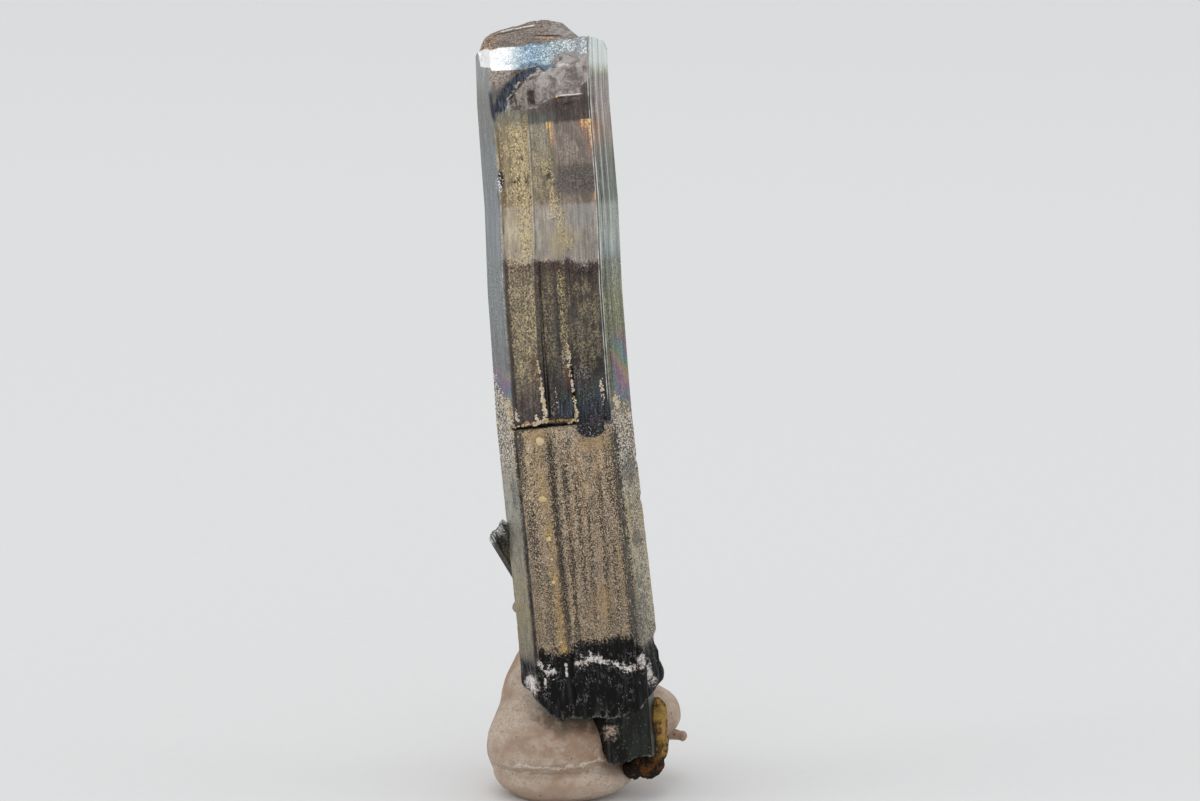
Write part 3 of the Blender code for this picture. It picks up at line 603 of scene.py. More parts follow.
def ball_mesh(subdivisions):
    """Unit directions and faces of an icosphere."""
    bm = bmesh.new()
    bmesh.ops.create_icosphere(bm, subdivisions=subdivisions, radius=1.0)
    directions = np.array([v.co.normalized() for v in bm.verts])
    faces = [tuple(v.index for v in f.verts) for f in bm.faces]
    bm.free()
    return directions, faces


def lump_radius(directions, centre, lumps, blend):
    """How far rays from centre run before they leave a blend of ellipsoids."""
    total = 0.0
    for middle, half in lumps:
        way = directions / np.array(half)
        offset = (np.array(centre) - np.array(middle)) / np.array(half)
        a, b, c = (way * way).sum(-1), way @ offset, offset @ offset - 1.0
        root = b * b - a * c
        reach = np.where(root > 0.0, (-b + np.sqrt(np.maximum(root, 0.0))) / a, 0.0)
        total = total + np.maximum(reach, 0.0) ** blend
    return total ** (1.0 / blend)


def along_rays(centre, directions, reach):
    """The points at a distance from centre in each direction."""
    return np.array(centre) + directions * reach[:, None]


def ochre_crust(material):
    """The rusty crust: a few lumps run together, with knobs and crumbs."""
    directions, faces = ball_mesh(6)
    reach = lump_radius(directions, OCHRE_CENTRE, OCHRE_LUMPS, OCHRE_BLEND)
    x, y, z = along_rays(OCHRE_CENTRE, directions, reach).T
    knobs = rugged(x * 1.1, y * 1.1, z * 1.1, 2, 101)
    crumbs = np.abs(rugged(x * 2.9, y * 2.9, z * 2.9, 4, 105))
    reach = reach * (1.0 + 0.12 * knobs - 0.16 * crumbs + 0.02)
    return new_object("ochre_crust_lumps", along_rays(OCHRE_CENTRE, directions, reach), faces, [material])


def putty_reach(way):
    """How far the putty runs from its centre in each direction."""
    reach = lump_radius(way, PUTTY_CENTRE, PUTTY_LUMPS, PUTTY_BLEND)
    x, y, z = along_rays(PUTTY_CENTRE, way, reach).T
    dents = rugged(x * 0.33, y * 0.33, z * 0.33, 2, 111)
    reach = reach * (1.0 + 0.030 * dents)
    right, back, up = along_rays(PUTTY_CENTRE, way, reach).T
    wave = 0.22 * grain(right * 0.6, back * 0.6, 0.0, 115)
    off = (up - FOLD_HEIGHT - FOLD_TILT * right - wave) / FOLD_WIDTH
    fold = FOLD_DEEP * np.exp(-off * off) - 0.10 * np.exp(-((off - 1.7) ** 2))
    reach = reach - fold * np.clip(-back / 2.0, 0.0, 1.0)
    return reach + 0.035 * rugged(x * 1.6, y * 1.6, z * 3.2, 3, 117)


def putty_lump(material):
    """The lump of putty, flat where it rests, with its fold."""
    around = 2.0 * math.pi * np.arange(PUTTY_SIDES) / PUTTY_SIDES

    def way(polar):
        flat = np.sin(polar)
        return np.stack([flat * np.cos(around), flat * np.sin(around), np.cos(polar)], -1)

    # The angle at which the surface meets the floor, found by halving.
    low, high = np.full(PUTTY_SIDES, 0.5 * math.pi), np.full(PUTTY_SIDES, math.pi)
    for _ in range(30):
        polar = 0.5 * (low + high)
        above = PUTTY_CENTRE[2] + way(polar)[:, 2] * putty_reach(way(polar)) > 0.0
        low, high = np.where(above, polar, low), np.where(above, high, polar)
    foot = along_rays(PUTTY_CENTRE, way(low), putty_reach(way(low)))
    foot[:, 2] = 0.0
    middle = foot.mean(axis=0)
    rings = [middle + (foot - middle) * share for share in (0.15, 0.3, 0.45, 0.6, 0.75, 0.9)]
    for share in np.linspace(0.0, 0.985, PUTTY_RINGS):
        ways = way(low * (1.0 - share))
        points = along_rays(PUTTY_CENTRE, ways, putty_reach(ways))
        points[:, 2] = 0.0 if share == 0.0 else np.maximum(points[:, 2], 0.01)
        rings.append(points)
    return loft("putty_lump", rings, rings, [material] * 3, (0, len(rings)), 180.0)


def putty_nub(material):
    """The little drawn-out nub on the putty's right, with its blunt, torn end."""
    directions, faces = ball_mesh(5)
    start, end = np.array(NUB_START), np.array(NUB_END)
    half = (end - start) * 0.5
    along = half / np.linalg.norm(half)
    forward = directions @ along
    flat = np.sign(forward) * np.abs(forward) ** 0.55
    side = directions - forward[:, None] * along
    pinch = 1.0 - 0.22 * np.exp(-(((forward - 0.15) / 0.25) ** 2))
    lumpy = 1.0 + 0.10 * rugged(*(directions.T * 2.0), 3, 121)
    points = (start + end) * 0.5 + flat[:, None] * half + side * (NUB_THICK * pinch * lumpy)[:, None]
    return new_object("putty_nub", points, faces, [material])


def front_depth(across, height):
    """Depth of the front surface at a place across the crystal, relief included."""
    wide = width_at(height)
    flat = np.interp(across / wide, *zip(*MAIN_SECTION[:7]))
    return wide * flat + main_relief(np.stack([across / wide, flat], -1), height)


def lump_cloud(name, spots, material, seed):
    """Many little rough lumps as one piece. spots is (across, height, size, flatness) for each."""
    rng = np.random.default_rng(seed)
    directions, faces = ball_mesh(2)
    all_points, all_faces = [], []
    across, height = (np.array([spot[k] for spot in spots]) for k in (0, 1))
    middles = place(across, front_depth(across, height), height, MAIN_START, MAIN_BENDS)
    for middle, (_, _, size, flat) in zip(middles, spots):
        shift = rng.uniform(0.0, 50.0, 3)
        rough = 1.0 + 0.55 * rugged(*(directions.T * 1.6 + shift[:, None]), 2, 131)
        stretch = rng.uniform(0.75, 1.25, 3) * np.array([1.0, flat, 1.0])
        offset = len(all_points) * len(directions)
        all_points.append(middle + directions * (size * rough)[:, None] * stretch)
        all_faces += [tuple(k + offset for k in face) for face in faces]
    return new_object(name, np.concatenate(all_points), all_faces, [material])


def deposit_spots(seed):
    """A place and a size for every grain of the deposits."""
    rng = np.random.default_rng(seed)
    spots = []
    for from_across, from_height, to_across, to_height, spread, size, many in DEPOSITS:
        for _ in range(many):
            share = rng.uniform()
            across = from_across + (to_across - from_across) * share + rng.normal() * spread * 0.6
            height = from_height + (to_height - from_height) * share + rng.normal() * spread * 0.6
            spots.append((across, height, size * rng.uniform(0.5, 1.15), GRAIN_FLATNESS))
    return spots


# ------------------------------------------------------------------ material nodes as arithmetic


class Wire:
    """A value on its way through a material's nodes. Arithmetic on it adds Math nodes."""

    def __init__(self, socket):
        self.socket = socket

    def __add__(self, other):
        return calc("ADD", self, other)

    def __sub__(self, other):
        return calc("SUBTRACT", self, other)

    def __rsub__(self, other):
        return calc("SUBTRACT", other, self)

    def __mul__(self, other):
        return calc("MULTIPLY", self, other)

    def __abs__(self):
        return calc("ABSOLUTE", self)

    __radd__ = __add__
    __rmul__ = __mul__


def feed(socket, value):
    """Link a wire to a socket, or set the socket to a number, a place or a colour."""
    if isinstance(value, Wire):
        socket.id_data.links.new(value.socket, socket)
    elif isinstance(value, tuple) and socket.type == "RGBA":
        socket.default_value = (*value, 1.0)
    else:
        socket.default_value = value


def made(kind, output, inputs, **settings):
    """What a new node gives at one of its outputs. inputs holds a value for each socket's name or number."""
    tree = next(value.socket.id_data for value in inputs.values() if isinstance(value, Wire))
    node = tree.nodes.new(kind)
    for name, value in settings.items():
        setattr(node, name, value)
    for key, value in inputs.items():
        feed(node.inputs[key], value)
    return Wire(node.outputs[output])


def calc(operation, *values):
    """A Math node's result."""
    return made("ShaderNodeMath", 0, dict(enumerate(values)), operation=operation)


def rise(x, low, high):
    """0 before low, 1 after high, smooth between. With low over high, it falls."""
    # It isn't clamped, because a smooth step keeps within 0 and 1 by itself.
    inputs = {"Value": x, "From Min": low, "From Max": high}
    return made("ShaderNodeMapRange", "Result", inputs, interpolation_type="SMOOTHSTEP", clamp=False)


def within(x, low, high, soft):
    """1 from low to high, 0 outside."""
    half = 0.5 * soft
    return rise(x, low - half, low + half) * rise(x, high + half, high - half)


def stripe(x, at, width):
    """1 at a place and 0 beyond half the width."""
    return rise(abs(x - at), 0.5 * width, 0.12 * width)


def either(*masks):
    """The largest of the masks."""
    result = masks[0]
    for mask in masks[1:]:
        result = calc("MAXIMUM", result, mask)
    return result


def scaled(point, scale, shift=(0.0, 0.0, 0.0)):
    """A place times a scale, which is one number or one for each axis, and then shifted."""
    scale = scale if isinstance(scale, tuple) else (scale,) * 3
    return made("ShaderNodeVectorMath", 0, {0: point, 1: scale, 2: shift}, operation="MULTIPLY_ADD")


def noise(point, scale, detail=2.0, rough=0.5, warp=0.0, shift=(0.0, 0.0, 0.0)):
    """Noise of about 0.5, with scale lumps to the millimetre along each axis."""
    inputs = {"Vector": scaled(point, scale, shift), "Scale": 1.0}
    inputs |= {"Detail": detail, "Roughness": rough, "Distortion": warp}
    return made("ShaderNodeTexNoise", "Fac", inputs)


def cell_distance(point, scale):
    """How far a place is from the middle of its Voronoi cell."""
    return made("ShaderNodeTexVoronoi", "Distance", {"Vector": scaled(point, scale), "Scale": 1.0})


def parts(point):
    """The three numbers of a place."""
    node = made("ShaderNodeSeparateXYZ", 0, {0: point}).socket.node
    return [Wire(socket) for socket in node.outputs]


def ramp(x, stops):
    """A colour or number read off stops of (place, colour or number), in the order of their places."""
    low, high = stops[0][0], stops[-1][0]
    inputs = {"Value": x, "From Min": low, "From Max": high}
    share = made("ShaderNodeMapRange", "Result", inputs, clamp=False)
    read = made("ShaderNodeValToRGB", "Color", {"Fac": share})
    elements = read.socket.node.color_ramp.elements
    while len(elements) < len(stops):
        elements.new(0.5)
    for element, (at, value) in zip(elements, stops):
        element.position = (at - low) / (high - low)
        element.color = (*(value if isinstance(value, tuple) else (value,) * 3), 1.0)
    return read


def mix(amount, a, b, kind="MIX"):
    """A colour between a and b."""
    return made("ShaderNodeMix", 2, {0: amount, 6: a, 7: b}, data_type="RGBA", blend_type=kind)


def blend(amount, a, b):
    """A number between a and b."""
    return made("ShaderNodeMix", 0, {0: amount, 2: a, 3: b})


def seen(red, green, blue, gain=1.0):
    """A colour as it shows on the screen, 0 to 255, turned to the linear values that shaders take."""
    shares = [c / 255.0 for c in (red, green, blue)]
    linear = [c / 12.92 if c < 0.0404 else ((c + 0.055) / 1.055) ** 2.4 for c in shares]
    return tuple(min(1.0, gain * c) for c in linear)


def tone(red, green, blue):
    """The colour of a metal that shows this screen colour."""
    return seen(red, green, blue, GAIN)


def glare(red, green, blue):
    """The same for the bright end face."""
    return seen(red, green, blue, GLARE)


def toned(x, rows, column=1, shown_by=tone):
    """A colour read off a table of places and screen colours."""
    return ramp(x, [(row[0], shown_by(*row[column])) for row in rows])


def mottle(x, low, high, first, second, shown_by=tone):
    """From one screen colour to another as x goes from low to high."""
    return mix(rise(x, low, high), shown_by(*first), shown_by(*second))


def painted(colour, *layers, shown_by=tone):
    """A colour with layers of (mask, colour) laid over it in turn; a layer's colour may be a wire."""
    for mask, layer in layers:
        colour = mix(mask, colour, layer if isinstance(layer, Wire) else shown_by(*layer))
    return colour


def shaded(amount, colour, mask, dark=0.24, light=0.76):
    """The colour made darker where the mask is 0 and lighter where it is 1, alike on the whole."""
    return mix(amount, colour, mix(mask, (dark,) * 3, (light,) * 3), "OVERLAY")


def ellipse(u, s, at_u, at_s, half_u, half_s):
    """Falls from 1 in the middle of an ellipse to 0 at its edge and below outside it."""
    right = (u - at_u) * (1.0 / half_u)
    up = (s - at_s) * (1.0 / half_s)
    return 1.0 - (right * right + up * up)


def start_material(name):
    """A new material, its node tree and its shader."""
    material = bpy.data.materials.new(name)
    material.use_nodes = True
    tree = material.node_tree
    return material, tree, tree.nodes["Principled BSDF"]


def dress(shader, colour, rough, relief=None, distance=0.0, **more):
    """Feed a shader. relief is a height of 0 to 1, which stands for a distance in millimetres."""
    inputs = {"Base Color": colour, "Roughness": rough} | more
    if relief is not None:
        bump = {"Strength": 1.0, "Distance": distance * MM, "Height": relief}
        inputs["Normal"] = made("ShaderNodeBump", "Normal", bump)
    for name, value in inputs.items():
        feed(shader.inputs[name.replace("_", " ")], value)


def own_place(tree):
    """Where a point is in the crystal's own frame, in millimetres: (across, depth, height)."""
    node = tree.nodes.new("ShaderNodeAttribute")
    node.attribute_name = "crystal"
    return Wire(node.outputs["Vector"])


def world_place(tree):
    """Where a point is on the whole part, in millimetres."""
    return scaled(Wire(tree.nodes.new("ShaderNodeTexCoord").outputs["Object"]), 1.0 / MM)


# ------------------------------------------------------------------ the main crystal's wall


class Spot:
    """A point on the main crystal's wall: where it is, which face it is on, and the noises there."""

    def __init__(self, tree):
        self.own = own = own_place(tree)
        self.u, self.v, self.s = u, v, s = parts(own)
        self.front = rise(v, 0.75, 0.40)
        self.ahead = rise(v, 2.4, 1.9)
        beside = rise(v, 3.6, 3.3)
        self.left = rise(u, -3.90, -4.02) * beside
        self.right = rise(u, 3.50, 3.58) * beside
        self.fine = noise(own, FINE, 3.0, 0.70)
        self.dots = noise(own, (9.5, 9.5, 8.5), 1.5, 0.5, shift=(4.0, 1.0, 7.0))
        self.worm = noise(own, (3.6, 3.6, 3.2), 3.0, 0.6, 0.8)
        self.lengthwise = noise(own, (3.6, 3.6, 0.09), 3.0, 0.62)
        self.scratch = noise(own, SCRATCHES, 3.0, 0.65)
        self.patchy = noise(own, (1.5, 1.5, 0.8), 4.0, 0.6)
        self.broad = noise(own, (0.55, 0.55, 0.35), 3.0, 0.55)
        # The lines of the upper half run a little less steeply than the axis.
        self.line = u - (s - 40.0) * 0.022 + (noise(own, (0.0, 0.0, 0.30), 1.0) - 0.5) * 0.08

    def span(self, low, high, soft=1.0):
        """1 between two heights."""
        return within(self.s, low, high, soft)

    def moved(self, noise_here, most, place_here=None):
        """The place across, or another place, pushed about by a noise."""
        return (self.u if place_here is None else place_here) + (noise_here - 0.5) * most


def tarnish_bands(p):
    """The colours of the uncoated half, with its threads and mottling, and those of the side faces alone."""
    s, fine, patchy = p.s, p.fine, p.patchy
    steps = (noise(p.own, (2.4, 2.4, 0.4), 2.0, 0.6) - 0.5) * 0.45
    ragged = (p.broad - 0.5) * 2.4 + (fine - 0.5) * 0.8
    height = s + steps * rise(s, 46.8, 46.2) + ragged * p.span(33.0, 36.6) + (fine - 0.5) * 0.35
    columns = [toned(height, FRONT_TONES, column) for column in (1, 2, 3)]
    bands = mix(rise(p.moved(patchy, 3.0), 0.2, 0.9), columns[1], columns[2])
    bands = mix(rise(p.line, -1.42, -1.50), bands, columns[0])
    left = toned(p.moved(p.broad, 1.2, s), LEFT_TONES)
    right = toned(p.moved(p.scratch, 0.8, s), RIGHT_TONES)
    behind = toned(p.moved(p.broad, 3.0, s), LEFT_TONES)
    colour = painted(behind, (p.front, bands), (p.left, left), (p.right, right))
    threads = 0.24 - 0.08 * p.left + 0.14 * p.right + 0.24 * rise(p.v, 2.6, 3.4)
    colour = shaded(threads, colour, rise(p.lengthwise, 0.34, 0.66))
    colour = shaded(0.34 - 0.14 * p.left, colour, rise(p.scratch, 0.38, 0.62))
    # The pale band: partly tarnish colour, partly a painted reflection of a softbox.
    pale = p.span(*REFLECTED_BAND, 0.3)
    grainy = 0.14 + (0.34 - 0.24 * pale) * rise(patchy, 0.44, 0.58) + 0.36 * rise(s, 36.2, 35.0)
    calm = 0.45 * p.left + 0.40 * p.right * rise(s, 40.0, 42.0)
    colour = shaded(grainy * (1.0 - calm), colour, rise(fine, 0.42, 0.58))
    return shaded((0.30 - 0.14 * pale) * p.front, colour, rise(patchy, 0.40, 0.60)), (left, right, behind)


def yellow_specks(p):
    """Where pale yellow specks lie: thick on the left strip, and in slanting patches beside it."""
    u, s, patchy, moved = p.u, p.s, p.patchy, p.moved
    slant = moved(patchy, 2.4, u + (s - 41.0) * 0.20)
    strip = rise(p.line, -1.44, -1.50)
    patches = rise(moved(p.lengthwise, 0.6, patchy), 0.42, 0.56)
    # On the left the specks thin out in the pale band, which is partly a painted reflection.
    reflected_band_left = p.span(*REFLECTED_BAND, 0.3) * rise(u, -2.2, -2.9)
    golden = 0.30 + 0.70 * within(moved(patchy, 3.0, p.line), -3.15, -1.6, 0.8)
    on_strip = strip * golden * rise(moved(patchy, 4.0), -3.8, -2.9) * (1.0 - 0.75 * reflected_band_left)
    return p.ahead * either(
        on_strip * within(moved(patchy, 3.0, s), 35.6, 46.6, 1.6),
        strip * rise(u, -3.9, -3.4) * p.span(26.5, 35.4, 2.0) * (0.38 + 0.30 * patches),
        stripe(slant, 0.10, 1.2) * p.span(36.6, 43.6, 1.6) * 0.92,
        stripe(moved(patchy, 2.0), -0.90, 0.8) * p.span(40.5, 46.0, 2.0) * 0.36,
        within(u, 0.2, 3.3, 0.6) * p.span(27.5, 35.0, 2.5) * patches * 0.30,
        stripe(moved(p.lengthwise, 1.2), 0.45, 0.9) * p.span(27.0, 35.2, 2.0) * 0.62,
        stripe(moved(p.fine, 1.0), -0.80, 1.8) * p.span(28.0, 35.2, 2.5) * (0.16 + 0.22 * patches),
    )


def with_specks(p, colour, zone):
    """Pale yellow specks with painted glints and black dots among them, and dark pits."""
    specks = rise(p.moved(p.worm, 0.5, p.fine), 0.46, 0.60)
    pitted = p.moved(p.patchy, 0.4, noise(p.own, (3.0, 3.0, 2.2), 4.0, 0.7, 0.3))
    holes = rise(pitted - p.span(40.4, 43.2) * rise(p.u, 1.0, 0.0) * 0.070, 0.39, 0.32)
    holes = holes * p.front * p.span(25.0, 46.6)
    return painted(
        colour,
        (zone * specks * 0.66, (192, 169, 122)),
        (zone * rise(p.dots, 0.57, 0.64) * 0.85, (234, 210, 156)),
        (zone * rise(p.fine, 0.46, 0.38) * 0.66, (72, 62, 46)),
        (holes * (0.25 + 0.70 * zone), (42, 38, 34)),
    )


def painted_copper_reflections(p):
    """Painted copper reflections along two sharp edges, strongest at the edge itself."""
    u, s, span = p.u, p.s, p.span
    below = p.moved(p.scratch, 5.0, s)
    top = rise(s, 46.52, 46.46)
    shining = stripe(p.moved(p.scratch, 1.6), 0.36, 0.64) * top * rise(below, 44.0, 46.0)
    glints = (
        stripe(u, at, wide) * span(low, high, soft) * much for at, wide, low, high, soft, much in COPPER_GLINTS
    )
    return either(
        shining * rise(p.scratch + u * 0.25, 0.46, 0.60),
        stripe(u, 3.10, 1.7) * top * rise(below + (u - 3.2) * 0.9, 44.7, 46.7),
        stripe(u, 3.36, 0.34) * top * rise(s, 42.6, 45.6) * 0.9,
        p.right * rise(u, 4.7, 3.7) * within(below, 44.6, 46.5, 1.0) * 0.34,
        *glints,
    ) * (0.45 + 0.55 * rise(p.fine, 0.42, 0.54)) * p.ahead


def edge_lines(p, colour):
    """Thin lines that run along the crystal: painted highlights along ridges and edges, dark lines and
    brownish ones.
    """
    u, s, line, fine, span, moved = p.u, p.s, p.line, p.fine, p.span, p.moved
    upward = rise(p.patchy, 0.42, 0.54)
    # Painted highlights along ridges and edges.
    bright = either(
        stripe(u, 3.44, 0.10) * rise(s, 24.0, 26.0) * (0.40 + 0.60 * upward),
        stripe(u, 3.62, 0.12) * rise(s, 24.0, 26.0) * (0.30 + 0.55 * rise(p.broad, 0.42, 0.54)),
        stripe(u, 4.06, 0.10) * rise(s, 26.0, 40.0) * 0.50,
        stripe(u, 4.48, 0.10) * rise(s, 30.0, 44.0) * 0.42,
        stripe(line, -1.48, 0.09) * span(35.5, 46.0) * 0.40,
        stripe(line, -3.94, 0.12) * span(33.0, 45.0, 3.0) * rise(fine, 0.50, 0.58) * 0.7,
    )
    brownish = stripe(line, -3.62, 0.44) * span(39.5, 46.2, 1.5) * rise(fine, 0.58, 0.48) * p.ahead
    # A small broken hole on the left edge, brown above, with a painted white glint below.
    hole = rise(moved(fine, 3.0, ellipse(u, s, -3.78, 42.25, 0.28, 0.85)), 0.0, 0.4) * p.ahead
    glint = p.dots + rise(u + (s - 42.2) * 0.4, -3.80, -4.00) * 0.10
    dark = either(
        stripe(line, -3.80, 0.16) * span(36.0, 46.0, 2.0) * upward * 0.6,
        stripe(moved(fine, 0.6), -3.70, 0.46) * span(24.0, 36.0, 2.0) * 0.70,
        stripe(line, -1.34, 0.12) * span(36.0, 46.0, 2.0) * 0.45,
        stripe(moved(fine, 1.6), -1.28, 0.42) * span(24.0, 35.4) * (0.06 + 0.22 * upward),
        stripe(moved(p.patchy, 1.2), -0.55, 0.30) * span(24.0, 34.0, 2.0) * 0.55 * upward,
        stripe(moved(p.patchy, 0.9), 0.12, 0.22) * span(28.0, 34.0, 2.0) * 0.60,
        stripe(u, 0.74, 0.16) * span(24.0, 29.0, 2.0) * 0.65,
        stripe(u, 3.53, 0.09) * rise(s, 24.0, 26.0) * 0.6,
        stripe(u, 3.85, 0.16) * rise(s, 26.0, 30.0) * 0.32,
        stripe(u, 4.28, 0.12) * rise(s, 26.0, 30.0) * 0.30,
    )
    return painted(
        colour,
        (bright * (0.45 + 0.55 * rise(p.lengthwise, 0.40, 0.60)), (212, 214, 210)),
        (brownish * 0.60, (96, 66, 54)),
        (hole * 0.92, mottle(glint, 0.57, 0.62, (46, 28, 24), (240, 240, 242))),
        (dark, (50, 44, 46)),
    )


def with_patches(p, colour):
    """A dark patch, reddish and dusty spots, tinges in the pale band and splashes on its lower edge."""
    u, s, fine, patchy, worm, span, moved = p.u, p.s, p.fine, p.patchy, p.worm, p.span, p.moved
    patch = within(moved(patchy, 4.0), 0.45, 4.2, 1.5) * within(moved(patchy, 0.9, s), 40.75, 43.15, 0.8)
    grained = rise(moved(fine, 3.2, patch), 0.25, 0.85)
    patch = grained * rise(u, 3.44, 3.36) * rise(patch, 0.0, 0.25) * p.front
    reddish = either(
        stripe(u, -1.95, 0.9) * span(26.4, 28.4, 0.8),
        stripe(u, 0.50, 0.7) * span(26.0, 28.0, 0.8),
    )
    dusted = either(*[ellipse(u, s, *spot) for spot in DUSTED])
    dusted = rise(moved(worm, 3.0, dusted), 0.0, 0.8) * p.front
    golden, cool = (
        rise(moved(patchy, 3.0, ellipse(u, s, *spot)), 0.0, 0.9) * span(*REFLECTED_BAND, 0.2) * p.front * 0.40
        for spot in (GOLDEN_TINGE, COOL_TINGE)
    )
    splashed = within(moved(patchy, 1.6, s), 34.7, 35.8, 0.6) * within(u, -3.85, 3.42, 0.1) * p.front
    splashed = rise(moved(worm, 2.8, splashed) - 0.30 * rise(p.line, -1.42, -1.50), 0.55, 1.05)
    return painted(
        colour,
        (patch * 0.74, mottle(fine, 0.42, 0.62, (60, 57, 57), (116, 111, 104))),
        (reddish * rise(worm, 0.40, 0.54) * 0.8, (90, 58, 52)),
        (dusted * rise(fine, 0.50, 0.58) * 0.5, (158, 151, 141)),
        (dusted * rise(fine, 0.46, 0.40) * 0.6, (36, 34, 34)),
        (golden, (166, 150, 110)),
        (cool, (140, 142, 142)),
        (splashed * 0.70, mottle(fine, 0.42, 0.58, (54, 45, 47), (88, 72, 68))),
    )


def film_colours(p, colour):
    """Thin-film colours: blue-violet low on the left bevel, pink, teal and green on the right one."""
    film = p.broad * 1.3 + p.s * 0.32 + p.u * 0.24 + p.v * 0.15 + p.patchy * 0.4
    amount = either(
        p.right * p.span(24.6, 29.4, 2.6) * rise(p.u, 3.7, 4.3) * 0.42,
        p.left * p.span(24.8, 27.6, 2.0) * 0.26,
        rise(p.v, 3.3, 4.3) * p.span(26.0, 49.0, 6.0) * 0.14,
    )
    return mix(amount, colour, toned(calc("FRACT", film), FILM_TONES))


def top_mass(p, colour):
    """The dark blue hollow under the bright end face and the crumpled grey mass inside its curve, with
    painted highlights and shade.
    """
    u, s, front, moved = p.u, p.s, p.front, p.moved
    torn = (noise(p.own, (1.3, 0.0, 1.3), 4.0, 0.62) - 0.5) * 1.6
    outer = ellipse(u, s, *CRESCENT_OUTER) + torn * 0.10
    inner = ellipse(u, s, *CRESCENT_INNER) + torn * 0.55
    above = front * rise(s + torn, 47.35, 47.75)
    hollow = rise(outer, 0.0, 0.07) * rise(inner, 0.04, -0.02) * rise(u, 1.25, 0.75) * above
    bottom = 47.55 + rise(u, -1.0, 1.2) * 0.85 + torn * 0.5
    right_end = 2.85 + rise(s + torn, 49.0, 49.9) * 0.75
    mass = either(rise(inner, 0.02, 0.08) * rise(u, 1.1, 0.9), within(u + torn * 0.3, 0.9, right_end, 0.3))
    mass = mass * rise(s, bottom - 0.05, bottom + 0.10) * front
    crumple = noise(p.own, *CRUMPLED)
    # Pale lines along the foil's crease ridges are painted highlights.
    crease_highlights = rise(abs(noise(p.own, 1.7, 3.0, 0.6, 0.4) - 0.5), 0.040, 0.008)
    foil = painted(
        mottle(crumple, 0.40, 0.60, (119, 110, 105), (173, 166, 162)),
        (rise(u, -0.2, -1.6) * 0.70, mottle(crumple, 0.42, 0.58, (80, 69, 60), (128, 115, 103))),
        (crease_highlights * 0.38, (192, 188, 184)),
        (rise(p.fine, 0.44, 0.37) * 0.42, (68, 60, 55)),
    )
    blue = mottle(p.scratch, 0.40, 0.62, (44, 46, 52), (88, 94, 106))
    blue = painted(blue, (rise(u, -1.2, 0.2) * 0.55, (112, 124, 140)))
    # A painted highlight along the hollow's inner edge.
    rim = rise(abs(inner - 0.035), 0.050, 0.012) * above * rise(u, 1.2, 0.8)
    # A dark slot: painted shade in a notch.
    slot = within(moved(p.scratch, 0.8), -1.22, -0.66, 0.25)
    slot = slot * within(s + torn * 0.3, 47.85, 49.0, 0.35) * front
    slit = stripe(u + (s - 48.0) * 0.10, -4.02, 0.42) * p.span(46.9, 48.9, 0.6) * p.ahead
    # A small ledge: a painted highlight along its lip and painted shade just under it.
    level = s + (u - 2.0) * -0.05 + torn * 0.10
    beige_rim = rise(outer, 0.02, -0.03) * rise(s, 48.9, 49.9) * rise(u, 0.6, -0.6) * front
    return painted(
        colour,
        (mass * 0.95, foil),
        (hollow, blue),
        (rim * (0.35 + 0.65 * rise(p.dots, 0.42, 0.56)) * 0.85, (200, 194, 186)),
        (slot * 0.85, (40, 34, 30)),
        (slit * 0.9, (40, 46, 62)),
        (stripe(level, 48.52, 0.13) * within(u, 1.1, 2.9, 0.4) * front * 0.9, (222, 220, 220)),
        (stripe(level, 48.36, 0.18) * within(u, 0.9, 3.0, 0.4) * front * 0.8, (52, 44, 42)),
        (beige_rim * 0.85, mottle(p.fine, 0.38, 0.60, (112, 100, 92), (186, 174, 164))),
    ), mass


def coat_ground(p, tones):
    """The coat's colours without its grain: warm and cool zones over a tone for each face."""
    left_tone, right_tone, behind_tone = tones
    warm = noise(p.own, (1.1, 1.1, 0.14), 4.0, 0.65)
    colour = painted(
        behind_tone,
        (p.front, toned(p.s, COAT_TONES)),
        (p.left, left_tone),
        (p.right, right_tone),
        (rise(warm, 0.50, 0.68) * 0.50 * p.front, (176, 146, 100)),
        (rise(warm, 0.48, 0.34) * 0.45 * p.front, (112, 104, 96)),
        (rise(p.u, -1.2, -2.2) * rise(p.s, 14.0, 8.0) * 0.50 * p.front, (114, 99, 80)),
        (rise(p.u, -1.6, -2.6) * rise(p.s, 16.0, 20.0) * 0.55 * p.front, (172, 151, 120)),
    )
    return shaded(0.30 * p.front, colour, rise(p.patchy, 0.42, 0.58))


